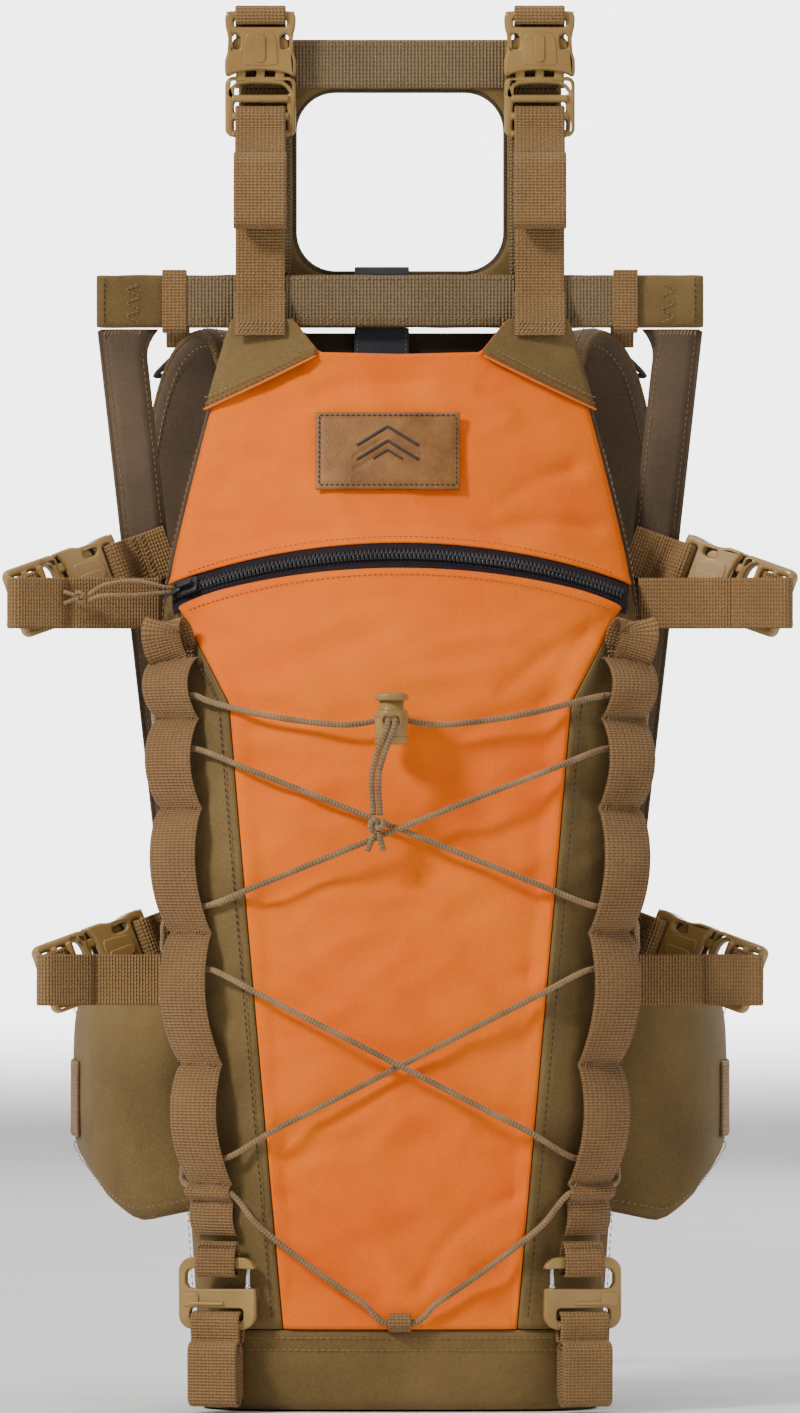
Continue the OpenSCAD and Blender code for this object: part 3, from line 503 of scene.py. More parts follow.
def build_stitches():
    for (body, thread), items in stitch_sets.items():
        verts, faces = [], []
        for a, m, b, r in items:
            t = unit(b - a)
            u, v = crosswise(t)
            base = len(verts)
            for p, k in ((a, 0.35), (mix(a, m, 0.5), 1.0), (mix(m, b, 0.5), 1.0), (b, 0.35)):
                for q in range(6):
                    w = math.pi * q / 3
                    verts.append(p + r * k * (u * math.cos(w) + v * math.sin(w)))
            faces += grid_faces(4, 6, close=True, base=base)
            faces.append([base + q for q in range(5, -1, -1)])
            faces.append([base + 18 + q for q in range(6)])
        word = body if isinstance(body, str) else "%s_to_%s" % body[:2]
        piece("stitches_%s_%s" % (word, thread), verts, faces, bpy.data.materials[thread], body)


def rounded(x0, x1, y0, y1, r, steps=6):
    pts = []
    for cx, cy, start in ((x1 - r, y1 - r, 0), (x0 + r, y1 - r, 90), (x0 + r, y0 + r, 180),
                          (x1 - r, y0 + r, 270)):
        for k in range(steps + 1):
            a = math.radians(start + 90 * k / steps)
            pts.append((cx + r * math.cos(a), cy + r * math.sin(a)))
    return pts


def soft_outline(points, step=1.2):
    """A closed outline through points, rounded."""
    p = np.asarray(points, float)
    n = len(p)
    out = []
    for i in range(n):
        a, b, c, d = p[i - 1], p[i], p[(i + 1) % n], p[(i + 2) % n]
        k = max(2, int(np.linalg.norm(c - b) / step))
        t = np.linspace(0, 1, k, endpoint=False)[:, None]
        tau = 0.4
        out.append(b + tau * (c - a) * t + (2 * tau * a + (tau - 3) * b + (3 - 2 * tau) * c - tau * d) * t**2
                   + (-tau * a + (2 - tau) * b + (tau - 2) * c + tau * d) * t**3)
    return np.vstack(out)


def ripple(p, size, seed=0.0):
    """Smooth noise from -1 to 1 at a point in millimetres."""
    return noise.noise(Vector((p[0] / size + seed, p[1] / size - seed, p[2] / size + 2 * seed)))


# ---------------------------------------------------------------- the bag's shape, as in the CAD

BAG = np.array([
    [0, 98, 101, 6, 24], [40, 100, 108, 8, 26], [150, 107, 112, 10, 26], [268, 116.5, 106, 14, 22],
    [350, 118, 90, 26, 12], [405, 116, 69.7, 38, 5], [440, 108, 56, 33, 4], [489, 95.5, 36, 18, 3],
    [536, 82, 16, 2, 1]])
BACK_Y = -10.0


def row(z, k):
    return float(np.interp(z, BAG[:, 0], BAG[:, k]))


def soft_row(z, k):
    """The same, with the bends between rows rounded off."""
    return sum(row(z + d, k) for d in (-14, -7, 0, 7, 14)) / 5 if 12 < z < 524 else row(z, k)


def bag_y(u, z):
    return -(soft_row(z, 2) - soft_row(z, 3) * u * u - soft_row(z, 4) * u**8)


def bag_pt(s, z):
    u = min(abs(s), 1)
    y = bag_y(u, z)
    return np.array([math.copysign(1, s) * u * soft_row(z, 1), y + max(abs(s) - 1, 0) * (BACK_Y - y), z])


def bag_n(s, z):
    u = min(abs(s), 1)
    w = soft_row(z, 1)
    run = (2 * soft_row(z, 3) * u + 8 * soft_row(z, 4) * u**7) / w
    rise = (bag_y(0, z + 5) - bag_y(0, z - 5)) / 10
    front = unit([math.copysign(1, s) * run, -1, rise])
    side = np.array([math.copysign(1, s), 0, 0])
    k = min(max((abs(s) - 0.98) / 0.06, 0), 1)
    return unit(mix(front, side, k))


def off_bag(s, z, out):
    return bag_pt(s, z) + out * bag_n(s, z)


def on_front(x, z, out):
    return off_bag(x / soft_row(z, 1), z, out)


def seam_x(z):
    return float(np.interp(z, [40, 345, 388, 400], [57, 84, 107, 115]))


ZIP_R, ZIP_TILT, ZIP_HALF = 190.0, math.radians(34), 36.0
zip_apex = np.array([0, -(69.7 + 12 / 35 * (56 - 69.7)), 417])
zip_out = np.array([0, -math.cos(ZIP_TILT), math.sin(ZIP_TILT)])
zip_up = np.array([0, math.sin(ZIP_TILT), math.cos(ZIP_TILT)])
zip_centre = zip_apex - zip_out * ZIP_R


def zip_z(x):
    return 417 - math.sin(ZIP_TILT) * (ZIP_R - math.sqrt(ZIP_R**2 - min(x * x, ZIP_R**2)))


def zip_at(deg, out=0.0, up=0.0):
    """A point on the zipper, deg round its arc from the apex, to the right when positive."""
    a = math.radians(deg)
    radial = math.cos(a) * zip_out + np.array([math.sin(a), 0, 0])
    return zip_centre + radial * (ZIP_R + out) + zip_up * up


TACKS = [86, 102.5, 111, 169, 233, 293.5, 337, 367]
BULGE = [2.5, 4.5, 9.5, 10, 10, 9, 10]


def daisy_x(z):
    return float(np.interp(z, [72, 106, 233, 296, 337, 370], [88, 90.5, 101, 106, 107.5, 108]))

# ---------------------------------------------------------------- camera, light and floor

camera = bpy.data.objects.new("camera", bpy.data.cameras.new("camera"))
scene.collection.objects.link(camera)
camera.location = (0, -6, 0.3432)
camera.rotation_euler = (math.pi / 2, 0, 0)
camera.data.sensor_fit = "VERTICAL"
camera.data.sensor_height = 24
camera.data.lens = 24 * 6 / 0.6924
camera.data.clip_end = 50
scene.camera = camera


def area_light(name, loc, aim, size, power, colour=(1, 1, 1)):
    data = bpy.data.lights.new(name, "AREA")
    data.shape = "RECTANGLE"
    data.size, data.size_y = size
    data.energy = power
    data.color = colour
    obj = bpy.data.objects.new(name, data)
    scene.collection.objects.link(obj)
    obj.location = loc
    obj.rotation_euler = (Vector(aim) - Vector(loc)).to_track_quat("-Z", "Y").to_euler()


area_light("key", (-2.1, -1.6, 2.3), (0, 0, 0.35), (0.6, 0.6), 92, (1, 0.985, 0.96))
area_light("fill", (2.4, -1.8, 0.9), (0, 0, 0.3), (1.6, 1.6), 13)
area_light("top", (0.2, 0.3, 2.4), (0, 0, 0.3), (1.4, 1.4), 20)
area_light("rear", (0.8, 2.6, 1.4), (0, 0.1, 0.3), (1.6, 1.6), 22)
area_light("backdrop_wash", (0, 6.6, 3.4), (0, 10, 0.8), (7, 1.5), 950)
world = bpy.data.worlds.new("studio")
world.use_nodes = True
world.node_tree.nodes["Background"].inputs[0].default_value = (1, 1, 1, 1)
world.node_tree.nodes["Background"].inputs[1].default_value = 0.36
scene.world = world

floor_mat = Nodes("pale_floor")
FLOOR = floor_mat.finish(floor_mat.ramp(floor_mat.noise(3),
                                        [(0.3, (0.83, 0.83, 0.825)), (0.7, (0.86, 0.86, 0.855))]), 0.9)
mesh = bpy.data.meshes.new("floor")
sweep = [(-16.0, 0.0), (7.8, 0.0)] + [(7.8 + 2.2 * math.sin(a), 2.2 - 2.2 * math.cos(a))
                                      for a in np.linspace(0.15, math.pi / 2, 12)] + [(10.0, 12.0)]
mesh.from_pydata([(x, y, z) for y, z in sweep for x in (-18, 18)], [],
                 [(2 * k, 2 * k + 1, 2 * k + 3, 2 * k + 2) for k in range(len(sweep) - 1)])
mesh.polygons.foreach_set("use_smooth", [True] * len(mesh.polygons))
mesh.materials.append(FLOOR)
floor = bpy.data.objects.new("floor", mesh)
scene.collection.objects.link(floor)

# ---------------------------------------------------------------- bag panels


def wrinkle(x, z, size=1.0):
    """Inward creases of the bag's cloth, in millimetres."""
    a = ripple((x + 0.5 * z, 0, z * 0.45), 34, 3.1)
    b = ripple((x * 0.6 - 0.4 * z, 0, z), 20, 8.4)
    c = ripple((x * 0.4, 0, z + 0.15 * x), 46, 1.2)
    return -size * (5.2 * abs(a) ** 1.3 + 3.4 * abs(b) ** 1.2 + 5.5 * (0.35 + 0.5 * c))


# creases that run in from the ends of the zipper and from where the lacing pulls: x, z, x, z, depth, width
CREASES = [(-104, 388, -48, 352, 2.0, 4.0), (104, 388, 50, 350, 2.0, 4.0), (-96, 378, -70, 336, 1.5, 3.2),
           (92, 380, 68, 340, 1.5, 3.2),
           (-80, 346, -30, 330, 1.2, 4.0), (80, 349, 30, 328, 1.2, 4.0), (-76, 322, -28, 296, 1.3, 5.0),
           (74, 246, 20, 268, 1.4, 5.0),
           (-72, 246, -24, 262, 1.4, 5.0), (70, 215, 24, 190, 1.2, 5.0), (-70, 215, -20, 192, 1.3, 5.0),
           (-66, 124, -20, 150, 1.4, 5.0),
           (66, 124, 22, 152, 1.4, 5.0), (-62, 107, -22, 80, 1.5, 4.0), (62, 107, 20, 78, 1.5, 4.0),
           (-8, 60, -40, 96, 1.2, 4.0),
           (10, 60, 38, 100, 1.2, 4.0), (-84, 470, -40, 442, 1.5, 4.5), (88, 462, 46, 440, 1.5, 4.5),
           (-40, 500, -10, 494, 1.0, 4.0),
           (42, 500, 64, 486, 1.3, 4.0), (-100, 436, -52, 428, 1.2, 3.5), (98, 432, 40, 430, 1.3, 3.5),
           (-30, 396, 34, 390, 1.2, 4.0)]


def creased(x, z):
    d = 0.0
    for x0, z0, x1, z1, deep, wide in CREASES:
        if min(x0, x1) - 20 < x < max(x0, x1) + 20 and min(z0, z1) - 16 < z < max(z0, z1) + 16:
            run = (x1 - x0) ** 2 + (z1 - z0) ** 2
            t = min(max(((x - x0) * (x1 - x0) + (z - z0) * (z1 - z0)) / run, 0), 1)
            off = math.hypot(x - mix(x0, x1, t), z - mix(z0, z1, t) - 4 * math.sin(3.0 * t))
            d -= 1.9 * deep * (1 - 0.75 * t) * bell(off, wide)
    return d


def seam_dip(d, depth=1.1, width=2.2):
    return -depth * bell(d, width)


def front_grid(rows, cols, x_of, z_of, disp):
    pts, nrm = [], []
    for v in np.linspace(0, 1, rows):
        line, ln = [], []
        for c in np.linspace(-1, 1, cols):
            z = z_of(c, v)
            x = x_of(c, z)
            n = bag_n(x / soft_row(z, 1), z)
            line.append(on_front(x, z, 0) + n * disp(x, z, c, v))
            ln.append(n)
        pts.append(line)
        nrm.append(ln)
    return pts, nrm


TAPE = 6.3  # half height of the zipper's visible tape, as seen from the front


def lower_z(c, v):
    return mix(40.6, zip_z(c * 108) - TAPE, v)


def lower_disp(x, z, c, v):
    edge = min(1, (1 - abs(c)) * 9, v * 14, (1 - v) * 12)
    top = (1 - v) * 360
    roll = 0.9 * bell(top, 2.4)
    return (wrinkle(x, z) + creased(x, z)) * edge + seam_dip((1 - abs(c)) * seam_x(z)) + roll


pts, nrm = front_grid(150, 81, lambda c, z: c * (seam_x(z) - 0.3), lower_z, lower_disp)
panel("bag_front_lower_cloth", pts, nrm, 1.4, ORANGE, "pack", "bag_front_lower")


def top_edge(u):
    return float(np.interp(abs(u), [0, 0.46, 0.64, 1], [517, 518, 534, 534]))


def upper_z(c, v):
    return mix(zip_z(c * 111) + TAPE, top_edge(c) - 0.5, v)


def upper_disp(x, z, c, v):
    edge = min(1, (1 - abs(c)) * 7, v * 10, (1 - v) * 8)
    roll = 0.9 * math.exp(-((v * 110 / 2.4) ** 2)) + 0.8 * math.exp(-(((1 - v) * 110 / 2.2) ** 2))
    return (wrinkle(x, z, 0.8) + creased(x, z)) * edge + roll + seam_dip((1 - abs(c)) * 100, 0.8)


pts, nrm = front_grid(64, 81, lambda c, z: c * (soft_row(z, 1) - 1.4), upper_z, upper_disp)
panel("bag_front_upper_cloth", pts, nrm, 1.4, ORANGE, "pack", "bag_front_upper")
# the hem on each side of the zipper, sewn down
for s, z_line in ((-1, lambda x: zip_z(x) - TAPE - 3), (1, lambda x: zip_z(x) + TAPE + 3)):
    stitch([on_front(x, z_line(x), 0.35) for x in np.linspace(-104, 104, 90)], "pack", THREAD_RUST, pitch=2.6,
           length=1.8, r=0.2)

for side, label in SIDES:
    pts, nrm = [], []
    for v in np.linspace(0, 1, 130):
        z = mix(40.6, 521, v)
        w = soft_row(z, 1)
        s0 = min(seam_x(z) + 0.3, w - 0.9) / w
        line, ln = [], []
        for c in np.linspace(0, 1, 46):
            s = mix(s0, 1, c / 0.42) if c < 0.42 else mix(1, 2, (c - 0.42) / 0.58)
            n = bag_n(side * s, z)
            x = side * min(s, 1) * w
            edge = min(1, c * 8, (1 - c) * 8, v * 12, (1 - v) * 12)
            d = wrinkle(x + 40 * max(s - 1, 0), z, 1.1 if s < 1.02 else 1.9) * edge
            d += seam_dip((s - s0) * w) if s < 1 else 0
            d += seam_dip((s - 1) * 60, 0.5, 2.5)
            line.append(off_bag(side * s, z, 0) + n * d)
            ln.append(n)
        pts.append(line if side > 0 else line[::-1])
        nrm.append(ln if side > 0 else ln[::-1])
    panel("bag_side_cloth_" + label, pts, nrm, 1.4, COYOTE, "pack", "bag_sides")
    # the dark dotted top-stitch on the coyote strip beside the orange, and the seam at the side's front edge
    zs = np.linspace(46, 384, 170)
    stitch([on_front(side * (seam_x(z) + 4.6), z, 0.25) for z in zs], "pack", THREAD_DARK, pitch=3.3,
           length=2.3, r=0.34)
    stitch([off_bag(side * 1.05, z, 0.1) for z in np.linspace(46, 470, 170)], "pack", THREAD, pitch=3.4,
           r=0.24)

pts, nrm = [], []
for z in np.linspace(1.2, 40, 16):
    line, ln = [], []
    for c in np.linspace(-1.5, 1.5, 120):
        s = c if abs(c) <= 1 else math.copysign(1 + (abs(c) - 1) * 2, c)
        n = bag_n(s, z)
        d = 0.5 * ripple((s * 100, 0, z * 2), 30, 5) * min(1, (40 - z) / 8, z / 8) - 0.3
        d += seam_dip(40 - z, 0.9, 1.6) - 2.4 * max(0, 1 - z / 7) ** 2 - 0.5 * bell(z - 33, 1.2)
        line.append(off_bag(s, z, 0) + n * d)
        ln.append(n)
    pts.append(line)
    nrm.append(ln)
panel("bag_base_band", pts, nrm, 1.6, COYOTE, "pack", "bag_base")
low = [np.array(p) for p in pts[0]]
verts, nrm2 = [], []
for v in np.linspace(0, 1, 12):
    verts.append([np.array([p[0], mix(p[1], BACK_Y, v),
                            1.2 - 1.1 * min(1, 6 * v) * (1 if 3 < i < len(low) - 4 else 0.4)]) for i,
                            p in enumerate(low)])
    nrm2.append([np.array([0, 0, -1.0])] * len(low))
panel("bag_base_bottom", [r[::-1] for r in verts], nrm2, 1.5, COYOTE, "pack", "bag_base")
for z in (36.4, 30.5):
    stitch([off_bag(s, z, 0.15) for s in np.linspace(-1, 1, 180)], "pack", THREAD, pitch=3.2, length=2.2,
           r=0.26)

# corner patches with their rust-coloured edging
for side, label in SIDES:
    pts, nrm = [], []
    for v in np.linspace(0, 1, 26):
        line, ln = [], []
        for c in np.linspace(0, 1, 26):
            u = mix(1, 0.47, c)
            z = mix(mix(489, 515, c), top_edge(u) - 0.2, v)
            n = bag_n(side * u, z)
            line.append(off_bag(side * u, z, 1.7 + 0.4 * ripple((u * 90, side, z), 22)))
            ln.append(n)
        pts.append(line if side < 0 else line[::-1])
        nrm.append(ln if side < 0 else ln[::-1])
    panel("corner_patch_" + label, pts, nrm, 1.2, COYOTE, "pack", "corner_patches")
    low_edge = [off_bag(side * mix(1, 0.47, c), mix(489, 515, c) + 0.2, 1.9) for c in np.linspace(0, 1, 40)]
    tube("corner_edge_" + label, low_edge, 1.1, ORANGE, "pack", "corner_patches", sides=8)
    for lift, mat in ((2.6, THREAD_RUST), (5.6, THREAD)):
        stitch([p + bag_n(side * 0.7, 505) * 0.25 + [0, 0, lift] for p in map(np.array, low_edge)], "pack",
               mat, pitch=2.8, length=1.9, r=0.26)

# leather patch: stitched border and a plain pair of ridges pressed into it
PATCH_X, PATCH_Z = -6, 468.5
PATCH_W, PATCH_H = 35.3, 19  # half its width and height
RIDGE_SLOPE = 0.62
pts, nrm = [], []
for v in np.linspace(-1, 1, 70):
    line, ln = [], []
    for c in np.linspace(-1, 1, 130):
        x, z = c * PATCH_W + PATCH_X, PATCH_Z + v * PATCH_H
        n = bag_n(x / soft_row(z, 1), z)
        d = 1.9 - 0.7 * max(abs(c), abs(v)) ** 14
        edge = max(abs(c) * PATCH_W - 32.6, abs(v) * PATCH_H - 16.4)
        d -= 0.28 * bell(edge, 0.7)
        for drop in (0, 6.5):
            ridge = abs((v * PATCH_H + 2 + drop) - (9 - RIDGE_SLOPE * abs(c * PATCH_W)))
            if abs(c * PATCH_W) < 17:
                d -= 0.42 * bell(ridge, 1.1)
        line.append(on_front(x, z, 0) + n * d)
        ln.append(n)
    pts.append(line)
    nrm.append(ln)
panel("leather_patch", pts, nrm, 1.5, LEATHER, "pack", "badge_patch")
for base, reach in ((2.5, 15), (-4.5, 15), (-4.5, 7)):
    mark = [on_front(PATCH_X + x, PATCH_Z + base + 9 - RIDGE_SLOPE * abs(x) - (4.5 if reach == 7 else 0),
                     1.95) for x in np.linspace(-reach, reach, 31)]
    tube("patch_mark_%d_%d" % (base > 0, reach), mark, 1.5 if reach > 7 else 1.1, INK, "pack", "badge_patch",
         sides=8)
border = [(-33.4, -17.2), (33.4, -17.2), (33.4, 17.2), (-33.4, 17.2), (-33.4, -17.2)]
for (x0, z0), (x1, z1) in zip(border, border[1:]):
    stitch([on_front(mix(x0, x1, t) + PATCH_X, mix(z0, z1, t) + PATCH_Z, 2.0) for t in np.linspace(0, 1, 24)],
           "pack", THREAD_DARK, pitch=2.6, length=1.8, r=0.3)

# ---------------------------------------------------------------- zipper

pts, nrm = [], []
for up in np.linspace(-1, 1, 15):
    line, ln = [], []
    for deg in np.linspace(-ZIP_HALF, ZIP_HALF, 140):
        x = ZIP_R * math.sin(math.radians(deg))
        z = zip_z(x) + up * 7.8
        n = bag_n(x / soft_row(z, 1), z)
        line.append(on_front(x, z, 0) + n * (0.25 - 0.9 * (abs(up) > 0.8) + 0.35 * (0.22 < abs(up) < 0.36)))
        ln.append(n)
    pts.append(line)
    nrm.append(ln)
panel("zipper_tape", pts, nrm, 0.9, ZIP_CLOTH, "pack", "zip_tape")
for up in (-3.4, 3.4):
    stitch([on_front(x, zip_z(x) + up, 0.8) for x in np.linspace(-108, 108, 90)], "pack", THREAD_DARK,
           pitch=2.2, length=1.6, r=0.2)

rods_v, rods_f = [], []


def rod(a, b, r):
    t = unit(b - a)
    u, v = crosswise(t)
    base = len(rods_v)
    for p, k in ((a, 0.45), (mix(a, b, 0.12), 1.0), (mix(a, b, 0.88), 1.0), (b, 0.45)):
        for q in range(8):
            w = math.pi * q / 4
            rods_v.append(p + r * k * (u * math.cos(w) + v * math.sin(w)))
    rods_f.extend(grid_faces(4, 8, close=True, base=base))
    rods_f.append([base + q for q in range(7, -1, -1)])
    rods_f.append([base + 24 + q for q in range(8)])


pitch_deg = math.degrees(2.1 / ZIP_R)
for i in range(int(2 * (ZIP_HALF - 0.8) / pitch_deg)):
    deg = -ZIP_HALF + 0.8 + i * pitch_deg
    for s in (-1, 1):
        d0, d1 = deg + s * pitch_deg * 0.25, deg + s * pitch_deg * 0.25 + 0.10
        a = zip_at(d0, 1.5, s * 3.0)
        b = zip_at(d1, 2.4, -s * 0.7)
        rod(a, b, 0.62)
        a2 = zip_at(d0 + pitch_deg * 0.42, 1.3, s * 3.0)
        rod(a2, b, 0.5)
piece("zipper_coil", rods_v, rods_f, BLACK_PLASTIC, "pack", "zip_coil")

# ---------------------------------------------------------------- daisy chains


def chain_out(z):
    for i in range(len(TACKS) - 1):
        if TACKS[i] <= z <= TACKS[i + 1]:
            t = (z - TACKS[i]) / (TACKS[i + 1] - TACKS[i])
            return BULGE[i] * max(math.sin(math.pi * t), 0) ** 0.7
    return 0.0


for side, label in SIDES:
    zs = np.concatenate([np.linspace(a, b, 18, endpoint=False) for a, b in zip(TACKS, TACKS[1:])]
                        + [[TACKS[-1]]])
    half = np.array([-1, -0.97, -0.88, -0.6, -0.3, 0, 0.3, 0.6, 0.88, 0.97, 1])
    edge = np.array([0.3, 0.8, 1.1, 0.95, 1, 1, 1, 0.95, 1.1, 0.8, 0.3])
    verts, uv = [], []
    centre = np.array([on_front(side * daisy_x(z), z, 1.0 + chain_out(z)) for z in zs])
    run = lengths(centre)
    for i, z in enumerate(zs):
        bow = chain_out(z)
        for face in (1, -1):
            for h, e in zip(half, edge):
                # the chain follows the bag where it is sewn and flattens where it bows out
                x = side * daisy_x(z) + h * 10
                flat = min(bow / 10, 1) * 0.45
                n = unit(mix(bag_n(x / soft_row(z, 1), z), bag_n(side * daisy_x(z) / soft_row(z, 1), z),
                             flat))
                p = mix(on_front(x, z, 1.05 + bow), centre[i] + np.array([h * 10, 0, 0]), flat)
                verts.append(p + n * face * e * 0.7)
                uv.append((h * 0.1 + (0.5 if face < 0 else 0), run[i] / 100))
    cols, m = 22, 11
    faces = []
    for i in range(len(zs) - 1):
        a, b = i * cols, (i + 1) * cols
        for k in range(m - 1):
            faces.append([a + k, b + k, b + k + 1, a + k + 1])
            faces.append([a + m + k + 1, b + m + k + 1, b + m + k, a + m + k])
        faces.append([a + m - 1, b + m - 1, b + cols - 1, a + cols - 1])
        faces.append([a + m, b + m, b, a])
    piece("daisy_chain_" + label, verts, [f[::-1] for f in faces], WEB_DARK, "pack", "daisy_" + label,
          uv)
    for z in TACKS[1:]:
        c = on_front(side * daisy_x(z), z, 2.0)
        a = on_front(side * daisy_x(z) + 8, z, 2.0) - on_front(side * daisy_x(z) - 8, z, 2.0)
        tack(c, a, (0, 0, 1), 18.5, "pack")
        tack(c + np.array([0, 0, 2.6]), a, (0, 0, 1), 18.5, "pack", rows=1.2, count=9)
    # the folded free end that stands open at the top of the chain
    top = on_front(side * daisy_x(372), 372, 1.0)
    nx = bag_n(side * daisy_x(372) / soft_row(372, 1), 372)
    fold = [top + np.array([0, 0, -6]) - nx * 0.1, top + nx * 1.2, top + nx * 5 + [0, 0, 7],
            top + nx * 11 + [0, 0, 9], top + nx * 14 + [0, 0, 3], top + nx * 11 + [0, 0, -5],
            top + nx * 6 + [0, 0, -9], top + nx * 2.9 + [0, 0, -8]]
    strap("daisy_fold_" + label, smooth_path(fold, 1.5), (1, 0, 0), 19, 1.3, WEB_DARK, "pack",
          "daisy_" + label)

# ---------------------------------------------------------------- lacing

CORD_OFF = 2.4


def lace(x, z, out=0.0):
    return on_front(x, z, CORD_OFF + out)


def tack_turn(s, z_in, z_out):
    a, b = daisy_x(z_in), daisy_x(z_out)
    m = (a + b) / 2
    return [lace(s * (a - 9), z_in), lace(s * (a + 4), z_in), lace(s * (m + 12), mix(z_in, z_out, 0.25)),
            lace(s * (m + 12.6), mix(z_in, z_out, 0.5)), lace(s * (m + 12), mix(z_in, z_out, 0.75)),
            lace(s * (b + 4), z_out), lace(s * (b - 9), z_out)]


def crossing(s, z0, z1, lift):
    out = []
    for k in range(1, 8):
        t = k / 8
        x = s * mix(daisy_x(z0) - 9, -daisy_x(z1) + 9, t)
        out.append(lace(x, mix(z0, z1, t), 0.4 + lift * math.sin(math.pi * t)))
    return out


lock_at = on_front(-4, 334, 13.5)
ANCHOR_Z = 44.5


def lace_top(s):
    out = []
    for t in (0.15, 0.4, 0.65, 0.9):
        x = mix(lock_at[0] + s * 8, s * 98.5, t)
        out.append(lace(x, mix(333, 347 if s < 0 else 349, t * t), mix(3, 0, t)))
    return out


def to_anchor(s):
    return [lace(s * mix(82, 4, k / 6), mix(106.7, ANCHOR_Z, (k / 6) ** 0.8), 0.3) for k in range(1, 6)]


main = (tack_turn(-1, 348, 322) + crossing(-1, 322, 246, 0) + tack_turn(1, 246, 215)
        + crossing(1, 215, 126, 0)
        + tack_turn(-1, 124, 106.7) + to_anchor(-1) + [lace(-8, ANCHOR_Z, 0.3), lace(8, ANCHOR_Z, 0.3)]
        + to_anchor(1)[::-1] + tack_turn(1, 124, 106.7)[::-1] + crossing(-1, 215, 126, 3.6)[::-1]
        + tack_turn(-1, 246, 215)[::-1] + crossing(1, 322, 246, 3.6)[::-1] + tack_turn(1, 348, 322)[::-1])
tube("lacing_main", smooth_path(main, 3), 3.0, CORD, "pack", "bungee_cord", sides=10)
for s, label in SIDES:
    start = lace(s * (daisy_x(348) - 9), 348)
    top = [start] + lace_top(s)[::-1] + [lock_at + [s * 6, 9.6, 0], lock_at + [s * 2.4, 7.0, 0],
                                         lock_at + [s * 1.8, 0, 0]]
    tube("lacing_top_" + label, smooth_path(top, 3), 3.0, CORD, None, "bungee_cord", sides=10,
         blend=("pack", "lock", tuple(lace(s * 90, 347)), tuple(lock_at + [s * 9, 9, 0])))

tail_end = on_front(-11, 284, 12)


def overhand(name, centre, axis, r, d, mat, body, nodes=()):
    """A small pulled-up overhand knot: a trefoil wound round axis."""
    axis = unit(axis)
    ref = unit(np.cross(axis, [0, 1, 0.2]))
    up = np.cross(axis, ref)
    pts = []
    for k in range(73):
        t = 2 * math.pi * k / 72 + 0.3
        a = math.sin(t) + 1.5 * math.sin(2 * t)
        b = math.cos(t) - 1.5 * math.cos(2 * t)
        pts.append(np.asarray(centre) + r / 2.6 * (ref * a + up * b) - axis * r * 0.55 * math.sin(3 * t))
    return tube(name, pts, d, mat, body, nodes, sides=8)


def declared_cord(name, points, d, body, nodes):
    """A free cord that runs to its knot; its start point, length and points are worked out but not kept."""
    path = smooth_path(points, d * 0.9)
    obj = tube(name, path, d, CORD, body, nodes, sides=10)
    tuple(place([path[0]])[0])
    float(lengths(path)[-1]) / 1000
    place(path).tolist()
    return obj


tail_knot = overhand("lacing_tail_knot", tail_end - np.array([0, 0, 0.5]), (0, 0.2, 1), 3.6, 2.9, CORD,
                     "lock", "bungee_tails")
for s, label in ((-1, "a"), (1, "b")):
    declared_cord("lacing_tail_" + label, [lock_at + [s * 1.7, -8.6, 0], lock_at + [s * 1.7 - 0.5, -11.5, -4],
                  mix(lock_at, tail_end, 0.5) + [s * 1.65 - 4, -8, 0], tail_end + [s * 1.65, 0, 4.4]], 3.0,
                  "lock", "bungee_tails")
for s, label, dx in ((-1, "a", -3.2), (1, "b", 2.4)):
    end = [tail_end + [dx * 0.4, 0.4, -4], tail_end + [dx * 0.8, 0.2, -8], tail_end + [dx * 1.4, 0.4, -13]]
    tube("lacing_end_" + label, smooth_path(end, 1.5), 2.9, CORD, "lock", "bungee_tails",
         sides=10)

PULL_ROOT = np.array([-114.6, -41.2, 400.5])
PULL_KNOT = np.array([-157, -46, 397])
pull_knot = overhand("zip_pull_knot", PULL_KNOT, (1, 0, 0.1), 2.9, 2.0, CORD, "slider", "zip_pull")
for s, label in ((-1, "a"), (1, "b")):
    declared_cord("zip_pull_" + label, [PULL_ROOT + [0, 0, s * 1.1], PULL_ROOT + [-15, -3, s * 3.4 + 1],
                                        PULL_ROOT + [-30, -4.5, s * 2.6],
                  PULL_KNOT + [4, 0, s * 1.25]], 1.9, "slider", "zip_pull")
tube("zip_pull_bight",
     smooth_path([PULL_ROOT + [0, 0, 1.1], PULL_ROOT + [3.2, 0.9, 1.2], PULL_ROOT + [4.2, 1.4, 0],
     PULL_ROOT + [3.2, 0.9, -1.2], PULL_ROOT + [0, 0, -1.1]], 0.7), 1.9, CORD, "slider", "zip_pull",
     sides=10)
for dz in (-2, 1.6):
    tube("zip_pull_end_%d" % (dz > 0),
         smooth_path([PULL_KNOT + [-2, 0.2, dz * 0.4], PULL_KNOT + [-5, 0.2, dz],
                      PULL_KNOT + [-8, 0.5, dz * 1.6]], 1),
         1.9, CORD, "slider", "zip_pull", sides=10)

y = bag_y(0, ANCHOR_Z) - 0.9
strap("lacing_anchor",
      smooth_path([(0, y + 0.4, 39.6), (0, y - 2.6, 41.4), (0, y - 4.8, 43.2), (0, y - 5, 45.5),
                   (0, y - 3.6, 47.8),
      (0, y - 1.2, 48.1), (0, y - 0.2, 46.6)], 0.8), (1, 0, 0), 11, 0.9, WEB, "pack", "bungee_anchor")

# ---------------------------------------------------------------- moulded parts


